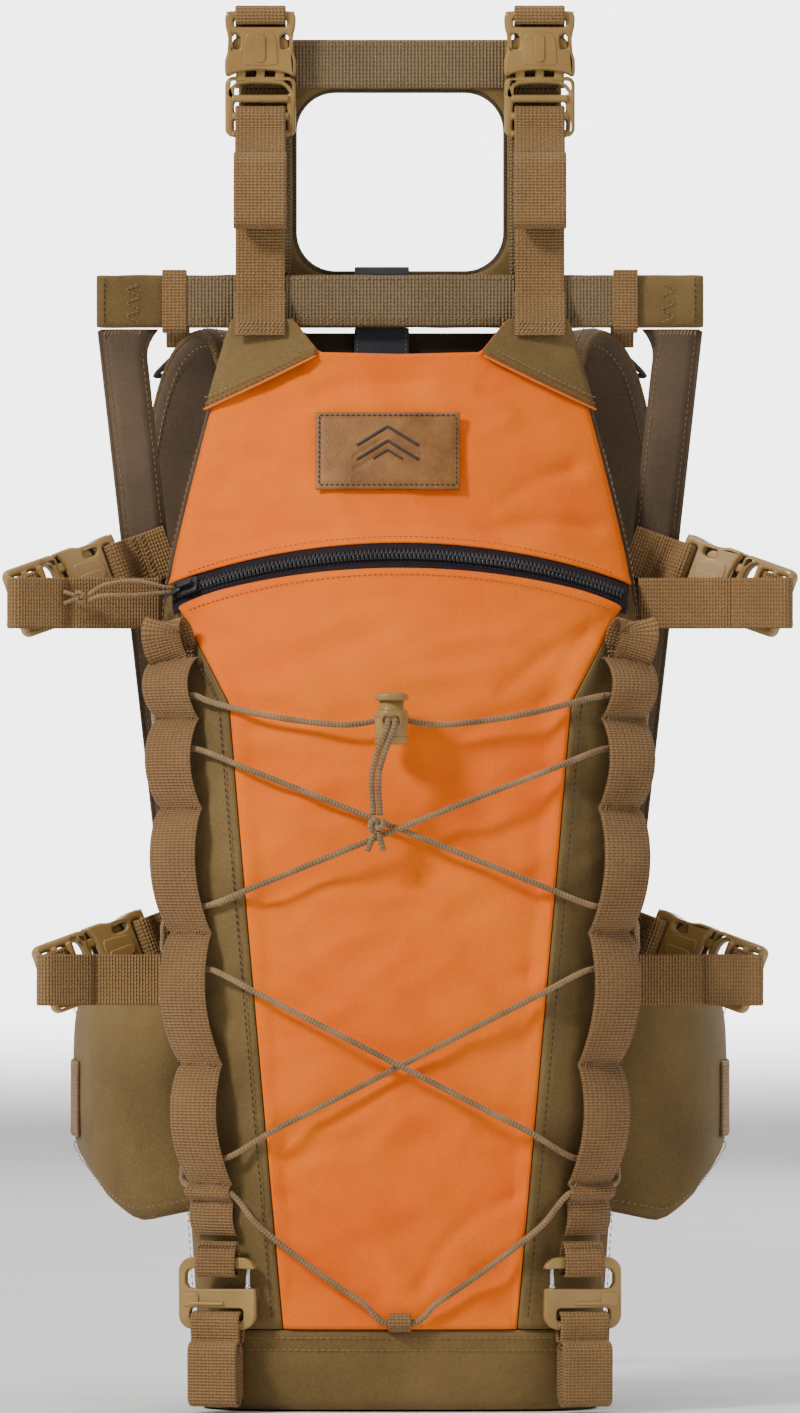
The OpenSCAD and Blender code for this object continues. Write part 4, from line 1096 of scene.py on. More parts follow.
def inset(loop, d):
    """The loop moved d into the material, which lies on its left."""
    p = np.asarray(loop, float)
    e = np.roll(p, -1, 0) - p
    e = e / np.maximum(np.linalg.norm(e, axis=1, keepdims=True), 1e-9)
    n = np.stack([-e[:, 1], e[:, 0]], -1)
    prev = np.roll(n, 1, 0)
    k = 1 / np.maximum(1 + np.sum(n * prev, 1), 0.5)
    return p + d * (n + prev) * k[:, None]


def slab(loops, thick, bevel, origin, x_dir, y_dir, back=None, steps=4):
    """A plate with rounded edges; its front is x_dir × y_dir.

    Its first loop is the outside, and the rest are holes."""
    back = bevel if back is None else back
    fixed = []
    for i, loop in enumerate(loops):
        loop = np.asarray(loop, float)
        x, y = loop[:, 0], loop[:, 1]
        area = np.sum(x * np.roll(y, -1) - np.roll(x, -1) * y)
        fixed.append(loop[::-1] if (area > 0) == (i > 0) else loop)
    h = thick / 2
    profile = [(0, -h)] if back == 0 else [(back * (1 - math.cos(a)), -h + back - back * math.sin(a))
                                           for a in np.linspace(math.pi / 2, 0, steps + 1)]
    profile += [(0, h)] if bevel == 0 else [(bevel * (1 - math.cos(a)), h - bevel + bevel * math.sin(a))
                                            for a in np.linspace(0, math.pi / 2, steps + 1)]
    x_dir, y_dir = unit(x_dir), unit(y_dir)
    z_dir = np.cross(x_dir, y_dir)
    origin = np.asarray(origin, float)
    verts, faces, starts = [], [], []
    for d, z in profile:
        row_start = []
        for loop in fixed:
            row_start.append(len(verts))
            for px, py in inset(loop, d):
                verts.append(origin + px * x_dir + py * y_dir + z * z_dir)
        starts.append(row_start)
    for a, b in zip(starts, starts[1:]):
        for i, loop in enumerate(fixed):
            n = len(loop)
            for k in range(n):
                j = (k + 1) % n
                faces.append([a[i] + k, a[i] + j, b[i] + j, b[i] + k])
    for end, (d, z), up in ((starts[0], profile[0], -1), (starts[-1], profile[-1], 1)):
        flat = [inset(loop, d) for loop in fixed]
        tris = tessellate_polygon([[Vector((px, py, 0)) for px, py in loop] for loop in flat])
        ids = [end[i] + k for i, loop in enumerate(fixed) for k in range(len(loop))]
        pts = np.vstack(flat)
        for a, b, c in tris:
            area = np.cross(pts[b] - pts[a], pts[c] - pts[a])
            faces.append([ids[a], ids[b], ids[c]] if area * up > 0 else [ids[c], ids[b], ids[a]])
    return verts, faces


def bar(a, b, r, sides=12):
    """A round bar with soft ends."""
    a, b = np.asarray(a, float), np.asarray(b, float)
    t = unit(b - a)
    u, v = crosswise(t)
    verts = []
    for p, k in ((a, 0.45), (a + t * r * 0.25, 0.85), (a + t * r * 0.6, 1), (b - t * r * 0.6, 1),
                 (b - t * r * 0.25, 0.85), (b, 0.45)):
        for q in range(sides):
            w = 2 * math.pi * q / sides
            verts.append(p + r * k * (u * math.cos(w) + v * math.sin(w)))
    faces = grid_faces(6, sides, close=True)
    faces += [list(range(sides - 1, -1, -1)), [5 * sides + q for q in range(sides)]]
    return verts, faces


def merged(name, parts, mat, body, nodes=(), flat=True):
    """One piece from several parts' vertices and faces; flat keeps its broad faces evenly shaded."""
    verts, faces = [], []
    for v, f in parts:
        faces += [[i + len(verts) for i in face] for face in f]
        verts += list(v)
    obj = piece(name, verts, faces, mat, body, nodes)
    if flat:
        soft = obj.modifiers.new("weighted_normals", "WEIGHTED_NORMAL")
        soft.weight = 80
    return obj


def turn(axis, deg):
    a = math.radians(deg)
    c, s = math.cos(a), math.sin(a)
    return np.array({"x": [[1, 0, 0], [0, c, -s], [0, s, c]], "y": [[c, 0, s], [0, 1, 0], [-s, 0, c]],
                     "z": [[c, -s, 0], [s, c, 0], [0, 0, 1]]}[axis])


class Local:
    """A CAD part's own frame: x, y, z there to the pack's millimetres, mirrored for the right side."""

    def __init__(self, origin, m, side=-1, scale=1.0):
        self.o, self.m, self.side, self.k = np.asarray(origin, float), m, side, scale

    def v(self, x, y, z):
        p = self.m @ np.array([x, y, z], float)
        return p * [1 if self.side < 0 else -1, 1, 1]

    def p(self, x, y, z):
        q = self.o + self.m @ (np.array([x, y, z], float) * self.k)
        return q * [1 if self.side < 0 else -1, 1, 1]

    def slab(self, loops, thick, bevel, x=0.0, y=0.0, z=0.0, front=True, back=None):
        """loops are drawn in x and z; front faces the part's -y."""
        y_dir = self.v(0, 0, 1) * (1 if front else -1) * (1 if self.side < 0 else -1)
        sign = (1 if front else -1) * (1 if self.side < 0 else -1)
        flipped = [np.asarray(l, float) * self.k * [1, sign] for l in loops]
        return slab(flipped, thick * self.k, bevel * self.k, self.p(x, y, z), self.v(1, 0, 0), y_dir,
                    None if back is None else back * self.k)

    def bar(self, a, b, r):
        return bar(self.p(*a), self.p(*b), r * self.k)

    def path(self, points):
        return np.array([self.p(x, y, 0) for x, y in points])


BODY_EDGE = [[0, 16.4], [1.5, 17.5], [8, 17.5], [11.5, 16.4], [18, 16], [21, 16.4], [24, 17.2], [29, 17.5],
             [31, 16.5], [32, 15]]


def female(name, f, body, nodes, mat=PLASTIC):
    top = [list(p) for p in BODY_EDGE]
    ring = top + [[x, -z] for x, z in top[::-1]] + [[1.6, -12], [2.6, -6], [2.9, 0], [2.6, 6], [1.6, 12]]
    outer = soft_outline(ring, 1.4)
    slot = rounded(24.2, 28.2, -13, 13, 1.4)
    wins = [soft_outline([[13.4, s * 10.4], [14.2, s * 14.1], [19.6, s * 13.9], [21, s * 12], [19.2, s * 10]],
                         1.2) for s in (-1, 1)]
    rim = soft_outline([[5.4, 7.6], [10, 8.6], [19.6, 7.4], [21.6, 4.4], [21.6, -4.4], [19.6, -7.4],
                        [10, -8.6], [5.4, -7.6]], 1.5)
    u = top + [[x, -z] for x, z in top[::-1]] + [[0, -14.8], [21.5, -14.8], [21.5, 14.8], [0, 14.8]]
    parts = [f.slab([outer, slot] + wins, 3.4, 1.5, y=-3.8, back=0), f.slab([u, slot], 4.2, 0),
             f.slab([outer, slot] + wins, 3.4, 1.5, y=3.8, front=False, back=0),
             f.slab([rim], 1.4, 0.7, y=-5.3, back=0), f.slab([rim], 1.4, 0.7, y=5.3, front=False, back=0),
             f.slab([rounded(6.5, 20.6, -2.6, 2.6, 2.4)], 1.2, 0.6, y=-6.1, back=0),
             f.bar((26.9 + 3.3, -5.1, -13.2), (26.9 + 3.3, -5.1, 13.2), 1.5)]
    return merged(name, parts, mat, body, nodes)


def male(name, f, body, nodes, mat=PLASTIC):
    outer = rounded(-30, -0.3, -17.5, 17.5, 4)
    arch = soft_outline([[-9.6, -12.6], [-9.6, 12.6], [-7, 13.4], [-4.4, 10], [-3.7, 0], [-4.4, -10],
                         [-7, -13.4]], 1.2)
    holes = [rounded(-27.4, -21.4, -13, 13, 1.6), rounded(-18.4, -12.8, -13, 13, 1.6), arch]
    parts = [f.slab([outer] + holes, 6.4, 1.8)]
    for x, r in ((-19.9, 1.9), (-11.2, 1.9), (-28.7, 1.7)):
        parts.append(f.bar((x, -2.9, -14.2), (x, -2.9, 14.2), r))
    for k in range(-6, 7):
        parts.append(f.bar((-19.9 - 1.3, -4.6, k * 2.05), (-19.9 + 1.3, -4.6, k * 2.05), 0.5))
    parts.append(f.slab([rounded(-3, 13, -2.2, 2.2, 1)], 4.8, 0.9))
    for s in (-1, 1):
        prong = [[-3, 7.4], [8, 7.6], [14, 8.6], [18.6, 9.4], [19.4, 11], [18, 13.2], [15, 14.4], [11, 13.8],
                 [9, 12], [-3, 11.8]]
        parts.append(f.slab([soft_outline([[x, s * z] for x, z in prong], 1.2)], 6, 1.2))
    return merged(name, parts, mat, body, nodes)


# ---------------------------------------------------------------- side buckles and straps

WEB_W, WEB_T = 25.0, 1.5  # the webbing's width and thickness
SIDE_MOUTHS = [[-165, -21.7, 402], [-150.5, -21.7, 217]]
SIDE_STARTS = [[[47.4, -2.3], [36, -7], [22, -12], [10, -15.5], [-2, -17.5]],
               [[36, -24.3], [27, -22.5], [13, -20.5], [4, -19], [-2, -18]]]
TAB = [[55.5, 16.5], [46, 16.6], [37, 16.5], [34, 14.5], [33, 10.5], [31.5, 7], [28.5, 5.2], [25.8, 6.4],
       [23.4, 11]]

for side, sl, word in ((-1, "l", "left"), (1, "r", "right")):
    for i, ul, level in ((0, "u", "upper"), (1, "l", "lower")):
        mouth = np.array(SIDE_MOUTHS[i])
        tilted = Local(mouth, turn("y", -20), side)
        axis = Local(mouth, turn("y", -20) @ turn("z", 27), side)
        female("side_body_%s%s" % (ul, sl), axis, "pack", "side_buckle_bodies")
        male("side_clip_%s_%s" % (level, word), axis, "side_plug_" + ul + sl,
             "side_plug_%s_%s" % (level, word))
        strap("side_tab_%s%s" % (ul, sl), smooth_path(tilted.path(TAB), 1.2), tilted.v(0, 0, 1), WEB_W, WEB_T,
              WEB, "pack", "side_tabs")
        for x in (44, 39.5):
            tack(tilted.p(x, 15.6, 0), tilted.v(0, 0, 1), tilted.v(1, 0, 0), WEB_W - 3, "pack")
        body = "side_plug_" + ul + sl
        straight = Local(mouth - [0, 0, 8], np.eye(3), side)
        start = smooth_path(straight.path(SIDE_STARTS[i] + [[-6, -19.6]]), 2)
        strap("side_strap_%s%s" % (ul, sl), start, (0, 0, 1), WEB_W, WEB_T, WEB, None, "side_straps",
              blend=("pack", body, tuple(start[2]), tuple(start[-3])))
        tail = Local(mouth - [0, 0, 8], turn("z", 27), side)
        centre = straight.p(-13.6, -21.8, 0)
        wound("side_roll_%s%s" % (ul, sl), centre, tail.v(1, 0, 0), tail.v(0, -1, 0), (0, 0, 1), 34, 13,
              WEB_W, WEB, body, "side_straps", turns=3)
        # the strap round the plug's middle bar, seen in its windows
        bars = [[-24.6, 2.4], [-24.4, -2.2], [-22, -5.2], [-16, -5.6], [-14.6, -2.4], [-14.4, 2], [-12, 3.6]]
        strap("side_wrap_%s%s" % (ul, sl), smooth_path(axis.path(bars), 1), axis.v(0, 0, 1), WEB_W, WEB_T,
              WEB, body, "side_straps")

# ---------------------------------------------------------------- top buckles and straps

TOP_TAB = [[22.4, 650], [22.4, 661], [22.4, 672.5], [20.8, 675.4], [14, 676.2], [10.4, 679.5], [10.2, 685.5],
           [8.6, 688.6], [2.5, 689.2],
           [-3, 688.6], [-4.6, 685.5], [-3.6, 681.8], [0, 681.2], [6, 681.2]]
# The top strap is in three parts: one sewn to the bag, the run between, which on the real pack shortens as
# the hoop goes down but here is a fixed piece with a mesh of its own, and the end round the plug
STRAP_BASE = [[-21.4, 526], [-19.7, 532], [-14.5, 538.5], [-10.8, 545], [-10.2, 548]]
STRAP_RUN = [[-10.2, z] for z in range(546, 591, 4)]
STRAP_END = [[-7.9, 597], [-7.9, 604], [-6.8, 609], [-2, 613.5], [4, 617], [6.9, 623], [6.9, 630], [6.9, 636],
             [5, 639.2], [2.5, 639.6], [0, 639.2],
             [-1.9, 636], [-3.5, 628.5], [-8, 622], [-14, 616]]
for side, word in SIDES:
    f = Local((-69, 2.5, 655), turn("y", -90), side)
    x = side * 69
    female("top_body_" + word, f, "popup", "top_buckle_bodies")
    male("top_clip_" + word, f, "top_plug_" + word[0], "top_plug_" + word)
    strap("top_tab_" + word, smooth_path([(x, y, z) for y, z in TOP_TAB], 1), (1, 0, 0), WEB_W, WEB_T, WEB,
          "popup", "top_tabs")
    for part, points, body in (("base", STRAP_BASE, "pack"), ("run", STRAP_RUN, "pack"),
                               ("end", STRAP_END, "top_plug_" + word[0])):
        path = smooth_path([(x, y, z) for y, z in points], 1.5)
        obj = strap("top_strap_%s_%s" % (part, word), path, (1, 0, 0), WEB_W - (0.6 if part == "run" else 0),
                    WEB_T, WEB, body, "top_straps")
        if part == "run":
            at(x, -10, 546)
            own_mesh(obj)
    wound("top_roll_" + word, (x, -19.4, 597), (0, 0.06, 1), (0, -1, 0.06), (1, 0, 0), 40, 14, WEB_W + 1, WEB,
          "top_plug_" + word[0], "top_straps", turns=3)
    for z in (528.5, 531.5):
        tack((side * 69, np.interp(z, [526, 532], [-21.4, -19.7]) - 1.1, z), (1, 0, 0), (0, 0, 1), WEB_W - 4,
             "pack")

# ---------------------------------------------------------------- gate hooks

HOOK_AT = np.array([-88.5, -103.5, 58])
for side, word in SIDES:
    f = Local(HOOK_AT, turn("z", -18), side)
    c_shape = rounded(-19.5, 19.5, -17.5, 17.5, 7, 8)
    # walk the outline from the corner above the mouth round to the one below it, then in along the mouth
    upper = [p for p in c_shape if p[1] > 12]
    lower = [p for p in c_shape if p[1] < -7 or (p[0] < 0 and p[1] <= 12)]
    ring = [(19.3, 12.4)] + upper + lower + [(19.5, 1.4), (18.6, 2.5)] + [(12, 2.3), (-11, 2), (-14.6, 2.8),
                                                                          (-16, 5), (-16, 9.4), (-14.6, 11.6),
                                                                          (-11, 12.4), (12, 12.2), (18.6, 12)]
    slot = rounded(-13.75, 13.75, -13.3, -7.1, 1.8)
    mid = ring[:-2] + [(4.9, 12.3), (4.9, 15.5), (17.6, 15.5), (17.6, 12.2)]
    parts = [f.slab([ring, slot], 0.96, 0.7, y=-2.02, back=0),
             f.slab([ring, slot], 0.96, 0.7, y=2.02, front=False, back=0),
             f.slab([mid, slot], 3.1, 0), f.slab([rounded(-17.6, -9, -6.4, 0.2, 1.8)], 1.2, 0.55, y=-2.9,
                                                 back=0),
             f.bar((-13, -3, -15.4), (13, -3, -15.4), 1.1), f.bar((-13.5, -3, -5), (4, -3, -5), 0.9)]
    merged("gate_hook_" + word, parts, PLASTIC, "pack", "gate_hooks")
    parts = [f.bar((15.5, 0, 3.4), (15.5, 0, 15), 1.1), f.bar((15.5, -1.3, 3.2), (15.5, 1.3, 3.2), 1.5)]
    merged("hook_wire_" + word, parts, STEEL, "gate_" + word[0], "gate_wire_" + word,
           flat=False)
    loop = [[2.2, -24], [4.6, -14], [3.6, -10.2], [0, -9.4], [-3.9, -10.2], [-5, -14], [-3.6, -24]]
    path = smooth_path([f.p(0, y, z) for y, z in loop], 1)
    strap("hook_strap_" + word, path, f.v(1, 0, 0), WEB_W, WEB_T, WEB, "pack", "hook_straps")
    wound("hook_roll_" + word, f.p(0, -4.5, -39.5), f.v(0, 0, 1), f.v(0, -1, 0), f.v(1, 0, 0), 34, 13, WEB_W,
          WEB, "pack", "hook_straps", turns=3)
    loop = [[1.2, 25], [4.3, 18], [4.1, 10], [0, 8.4], [-4.1, 10], [-4.3, 18], [-1.2, 25]]
    path = smooth_path([f.p(0, y, z) for y, z in loop], 1)
    strap("daisy_end_" + word, path, f.v(1, 0, 0), 20, 1.3, WEB_DARK, "pack", "daisy_" + word)
    tack(f.p(0, -3.6, 23.2), f.v(1, 0, 0), (0, 0, 1), 17, "pack")

# ---------------------------------------------------------------- cord lock and zip slider


def lathe(centre, profile, sides=40):
    """A turned part about Z: profile is radius and height, from the bottom up and round."""
    verts = []
    for r, z in profile:
        for q in range(sides):
            w = 2 * math.pi * q / sides
            verts.append(np.asarray(centre) + [r * math.cos(w), r * math.sin(w), z])
    faces = grid_faces(len(profile), sides, close=True)
    faces.append(list(range(sides - 1, -1, -1)))
    faces.append([(len(profile) - 1) * sides + q for q in range(sides)])
    return verts, faces


def flanged(a, b, r, d=1.0):
    return [(r - d, a), (r - 0.3 * d, a + 0.3 * d), (r, a + d), (r, b - d), (r - 0.3 * d, b - 0.3 * d),
            (r - d, b)]


barrel = flanged(-12, 5, 8, 1.4) + [(6.6, 5), (6.3, 4.4), (6.3, -8)]
parts = [lathe(lock_at, barrel)]
parts += [lathe(lock_at, [(8.0, z - 0.6), (8.45, z - 0.3), (8.45, z + 0.3), (8.0, z + 0.6)])
          for z in (-8.6, 1.8)]
for s in (-1, 1):
    parts.append(slab([soft_outline([[-5.4, 0], [-4, 3.4], [4, 3.4], [5.4, 0], [4, -3.4], [-4, -3.4]], 1),
                       rounded(-3.9, 3.9, -2, 2, 1.8)], 1.2, 0.5,
                      lock_at + [0, s * 7.9, 0], (1, 0, 0), (0, 0, 1 if s < 0 else -1)))
merged("cord_lock_barrel", parts, PLASTIC, "lock", "cord_lock", flat=False)
parts = [lathe(lock_at, [(5.8, -3.6), (6, -3), (6, 9.6)]), lathe(lock_at, flanged(9.4, 13, 8.3, 1.1))]
parts += [lathe(lock_at, [(r, 12.9), (r + 0.2, 13.25), (r - 0.4, 13.3)]) for r in (2.2, 4.4, 6.2)]
merged("cord_lock_cap", parts, PLASTIC, "lock_button", "cord_lock_button", flat=False)

m = turn("x", -34) @ turn("z", -ZIP_HALF + 3.5)
slider = Local(zip_centre + m @ np.array([0, -ZIP_R - 2.6, 0]), m)
wedge = soft_outline([[-5.2, -2.6], [-5.4, 2.6], [-2, 4.2], [4.6, 4.2], [5.6, 2], [5.6, -2], [4.6, -4.2],
                      [-2, -4.2]], 0.9)
parts = [slider.slab([wedge], 2.0, 0.8, y=-1.3),
         slider.slab([soft_outline([[-3.6, -1.5], [-3.6, 1.5], [3.6, 1.5], [3.6, -1.5]], 0.7)], 1.4, 0.5,
                     y=-5.0),
         slider.bar((-3, -5, 0), (-3, -1.5, 0), 1.1), slider.bar((3, -5, 0), (3, -1.5, 0), 1.1),
         slider.slab([rounded(-14.2, -2.6, -3, 3, 2.4), rounded(-12, -4.8, -1.5, 1.5, 1.2)], 1.5, 0.6,
                     y=-3.5)]
merged("zip_slider_body", parts, BLACK_PLASTIC, "slider", "zip_slider")

# ---------------------------------------------------------------- frame


def loft(name, rings, mat, body, nodes=()):
    """A closed skin over rings of points, with flat ends."""
    rings = np.asarray(rings, float)
    rows, cols = rings.shape[:2]
    faces = grid_faces(rows, cols, close=True)
    faces.append(list(range(cols - 1, -1, -1)))
    faces.append([(rows - 1) * cols + k for k in range(cols)])
    return piece(name, rings.reshape(-1, 3), faces, mat, body, nodes)


def stay_x(z):
    return 139 - 0.1115 * (543.5 - z)


for side, word in SIDES:
    rings = []
    for z in np.linspace(38, 529.7, 150):
        c = side * stay_x(z)
        ring = []
        wide = 11 + 0.35 * ripple((side * 50, 0, z), 26)
        flare = 7.5 * max(0, (z - 515) / 15) ** 2
        end = min(1, (z - 37) / 5)
        for t in np.linspace(0, 2 * math.pi, 28, endpoint=False):
            cx, cy = math.cos(t), math.sin(t)
            x = math.copysign(abs(cx) ** 0.55, cx) * wide
            flat = 1 - min(1, max(0, (abs(x) - 6.8) / 2.2))
            y = math.copysign(abs(cy) ** 0.6,
                              cy) * (1.5 + 2.4 * flat + 0.45 * ripple((x, cy * 9, z), 13, side) * flat) * end
            if x * -side > 0:
                x *= 1 + flare / 11
            ring.append((c + x, y, z))
        rings.append(ring)
    loft("frame_sleeve_" + word, rings, BROWN, "pack", "frame_sleeves")
    for dx in (-8.8, 8.8):
        stitch([(side * stay_x(z) + dx, -1.95, z) for z in np.linspace(42, 528, 150)], "pack", THREAD,
               pitch=3.2, r=0.26)
    for z in (44, 528):
        tack((side * stay_x(z), -3.6, z), (1, 0, 0), (0, 0, 1), 17, "pack")
    cord = [(side * (stay_x(z) + 11.2), 0, z) for z in np.linspace(39, 529, 120)]
    tube("sleeve_edge_" + word, cord, 2.2, BROWN, "pack", "frame_sleeves", sides=8)

rings = []
for x in np.linspace(-150, 150, 170):
    ring = []
    end = min(1, (150 - abs(x)) / 4 + 0.35) ** 0.5
    for t in np.linspace(0, 2 * math.pi, 32, endpoint=False):
        cy, cz = math.cos(t), math.sin(t)
        y = math.copysign(abs(cy) ** 0.45, cy) * (6.6 + 0.4 * ripple((x, cy * 8, cz * 14), 19)) * end
        z = 543.5 + math.copysign(abs(cz) ** 0.45,
                                  cz) * (13.1 + 0.35 * ripple((x, cy * 8, cz * 14), 15,
                                                              4)) * (0.92 + 0.08 * end)
        ring.append((x, y, z))
    rings.append(ring)
loft("crossbar_cloth", rings, COYOTE, "pack", "crossbar_cover")
path = [(x, -7.3 - 0.25 * ripple((x, 0, 0), 30), 543.5) for x in np.linspace(-116, 116, 120)]
strap("crossbar_face", path, (0, 0, 1), 25.2, 1.3, FACING, "pack", "crossbar_cover")
for dz in (-10.8, 10.8, -8.9):
    stitch([(x, -8.2, 543.5 + dz) for x in np.linspace(-114, 114, 110)], "pack", THREAD, pitch=3.1, r=0.27)
for s in (-1, 1):
    for x in (113.5, 110.5):
        tack((s * x, -8.2, 543.5), (0, 0, 1), (1, 0, 0), 23, "pack", rows=2.2, count=13)
    stitch([(s * 146, -6.8, z) for z in np.linspace(532, 555, 12)], "pack", THREAD_DARK)
    zig = [(s * (132 + (3.2 if k % 2 else -3.2)), -7.3, 533 + k * 3.2) for k in range(7)]
    stitch(smooth_path(zig, 1), "pack", THREAD, pitch=2.4, length=1.9)

# the pop-up hoop's cloth cover, webbing faced, with a window under its bar
cover = rounded(-80, 80, 541.3, 673.7, 14, 12)
hole = rounded(-52, 52, 558, 648, 20, 12)


def dense(loop, step=4.0):
    out = []
    n = len(loop)
    for i in range(n):
        a, b = np.array(loop[i]), np.array(loop[(i + 1) % n])
        k = max(1, int(np.linalg.norm(b - a) / step))
        out += [mix(a, b, j / k) for j in range(k)]
    return out


outer, inner = dense(cover), dense(hole)
verts, faces = slab([outer, inner], 12.2, 4.2, (0, 15, 0), (1, 0, 0), (0, 0, 1), steps=6)
verts = [v + np.array([0, 0.5 * ripple(v, 18), 0]) for v in verts]
obj = piece("popup_cloth", verts, faces, COYOTE, "popup", "popup_cover")
obj.modifiers.new("weighted_normals", "WEIGHTED_NORMAL").weight = 80
Y = 8.15
strap("popup_face_top", [(x, Y - 0.2 * abs(ripple((x, 0, 9), 24)), 661.2) for x in np.linspace(-77, 77, 80)],
      (0, 0, 1), 23.4, 1.3, FACING, "popup", "popup_cover")
strap("popup_face_bottom",
      [(x, Y - 0.2 * abs(ripple((x, 0, 3), 24)), 549.6) for x in np.linspace(-77, 77, 80)], (0, 0, 1), 14.6,
      1.3, FACING, "popup", "popup_cover")
for s, word in SIDES:
    strap("popup_face_" + word, [(s * 66.2, Y + 0.1 - 0.2 * abs(ripple((s, 0, z), 24)), z)
                                 for z in np.linspace(557.6, 649, 60)], (1, 0, 0), 24.4, 1.3, FACING, "popup",
                                 "popup_cover")
    gusset = [[52.8, 558.6], [38, 558.6], [43, 562], [48, 567], [51.4, 573], [52.8, 580]]
    loop = [(s * x, z) for x, z in gusset]
    v, f = slab([loop], 2.0, 0.6, (0, 11, 0), (1, 0, 0), (0, 0, 1))
    piece("popup_gusset_" + word, v, f, BROWN, "popup", "popup_cover")
    for x in (55.6, 77.2):
        stitch([(s * x, Y - 0.7, z) for z in np.linspace(559, 648, 50)], "popup", THREAD, pitch=3.1, r=0.27)
    for z in (652.5, 648.2):
        tack((s * 66.2, Y - 0.9, z), (1, 0, 0), (0, 0, 1), 22, "popup")
    tack((s * 66.2, Y - 0.9, 557.6), (1, 0, 0), (0, 0, 1), 22, "popup")
for z in (651.6, 671.2, 543.6, 555.4):
    stitch([(x, Y - 0.75, z) for x in np.linspace(-75, 75, 80)], "popup", THREAD, pitch=3.1, r=0.27)
ring = dense(inner, 2.5)
tube("popup_window_edge", [(p[0], 10.9, p[1]) for p in ring + ring[:1]], 1.9, FACING, "popup", "popup_cover",
     sides=8)

for word, z0, z1 in (("lower", 511, 530.5), ("upper", 556.5, 560.6)):
    v, f = slab([rounded(-22.5, 4.5, z0, z1, 0.8, 4)], 1.3, 0.5, (0, 0, 0), (1, 0, 0), (0, 0, 1))
    piece("frame_tag_" + word, v, f, TAG, "pack", "frame_tag")
for x in (-20.9, 2.9):
    stitch([(x, -0.75, z) for z in np.linspace(512, 529, 10)], "pack", THREAD, pitch=2.2, length=1.5, r=0.2)

# back of the bag, with its edge binding, and the frame sheet
pts, nrm = [], []
for z in np.linspace(4, 515, 90):
    w = row(z, 1) - 3
    pts.append([(x, BACK_Y + 1.8 + 0.7 * ripple((x, 0, z), 40, 6) * min(1, (1 - abs(x / w)) * 6), z)
                for x in np.linspace(w, -w, 50)])
    nrm.append([(0, 1, 0)] * 50)
panel("bag_back_cloth", pts, nrm, 1.4, COYOTE, "pack", "bag_back")
for s in (-1, 1):
    tube("bag_back_edge_%d" % (s > 0),
         [(s * (row(z, 1) - 1.4), BACK_Y + 0.4, z) for z in np.linspace(3, 521, 110)], 2.6, BROWN, "pack",
         "bag_back", sides=8)
half = [(stay_x(48) + 6, 48), (stay_x(395) + 6, 395), (111, 402), (104, 440), (91, 489), (79, 528)]
v, f = slab([half + [(-x, z) for x, z in half[::-1]]], 1.8, 0.5, (0, 5.3, 0), (1, 0, 0), (0, 0, 1))
piece("frame_sheet_board", v, f, LINING, "pack", "frame_sheet", smooth=False)

# ---------------------------------------------------------------- pads


def pad_piece(name, cx, cz, w, h, r, y0, y1, body, nodes, mat, grooves=(), edge=COYOTE):
    """A crowned foam pad between y0 and y1, seen from the wearer's side, with piping round it."""
    outline = dense(rounded(-w / 2, w / 2, -h / 2, h / 2, r, 10), 4)
    shells = [0, 0.25, 0.45, 0.6, 0.72, 0.82, 0.89, 0.94, 0.975, 1.0]
    n = len(outline)
    rows_p = []
    for k in shells:
        ring = []
        for p in outline:
            x, z = p * k
            # the crown falls off toward the edge, and each sewn groove pinches it
            crown = (1 - k**5) ** 0.5
            y = mix(y0 + (y1 - y0) * 0.55, y1, crown)
            for gx0, gz0, gx1, gz1 in grooves:
                a, b = np.array([gx0, gz0]), np.array([gx1, gz1])
                t = min(max(np.dot(np.array([x, z]) - a, b - a) / np.dot(b - a, b - a), 0), 1)
                d = np.linalg.norm(np.array([x, z]) - mix(a, b, t))
                y -= 5.5 * bell(d, 5) * min(1, crown * 1.5)
            y += 0.5 * ripple((x, 3, z), 24, cz) * crown
            ring.append((cx + x, y, cz + z))
        rows_p.append(ring)
    for y, k in ((mix(y0, y1, 0.5), 1.008), (mix(y0, y1, 0.25), 1.0), (y0 + 0.8, 0.985), (y0, 0.95)):
        rows_p.append([(cx + p[0] * k, y, cz + p[1] * k) for p in outline])
    faces = grid_faces(len(rows_p), n, close=True)
    faces.append([(len(rows_p) - 1) * n + k for k in range(n)])
    verts = np.array(rows_p).reshape(-1, 3)
    obj = piece(name, verts, faces, mat, body, nodes, subdiv=1)
    line = [(cx + p[0] * 1.006, mix(y0, y1, 0.55), cz + p[1] * 1.006) for p in outline]
    tube(name + "_piping", line + line[:1], 3.2, edge, body, nodes, sides=8)
    for gx0, gz0, gx1, gz1 in grooves:
        stitch([(cx + mix(gx0, gx1, t), y1 - 5.2, cz + mix(gz0, gz1, t))
                for t in np.linspace(0.04, 0.96, 30)], body, THREAD, pitch=4, r=0.3)
    return obj


pad_piece("back_pad_foam", 0, 352, 190, 250, 34, 6.8, 34, "pack", "back_pad", MESH,
          grooves=[(-40, -118, -40, 118), (40, -118, 40, 118), (-90, 40, -40, 60), (90, 40, 40, 60),
                   (-90, -50, -40, -30), (90, -50, 40, -30)])
pad_piece("lumbar_pad_foam", 0, 134, 168, 150, 34, 6.8, 38, "pack", "lumbar_pad", MESH,
          grooves=[(-28, -68, -28, 68), (28, -68, 28, 68)])
pad_piece("yoke_pad_foam", 0, 450, 150, 88, 22, 34.4, 43, "pack", "yoke_pad", COYOTE)

# ---------------------------------------------------------------- shoulder harness

STRAP = smooth_path([[-52, 50, 462], [-58, 58, 500], [-72, 80, 524], [-90, 100, 510], [-100, 108, 470],
                     [-103, 106, 420], [-100, 99, 360], [-93, 90, 300], [-88, 82, 258]], 4)


# The foot of each shoulder strap is sewn to the yoke and the strap runs on beyond it; the pieces given this
# pair of bodies are only baked in place
YOKE_FLEX = ("pack", "harness", (0, 48, 480), (0, 78, 480))


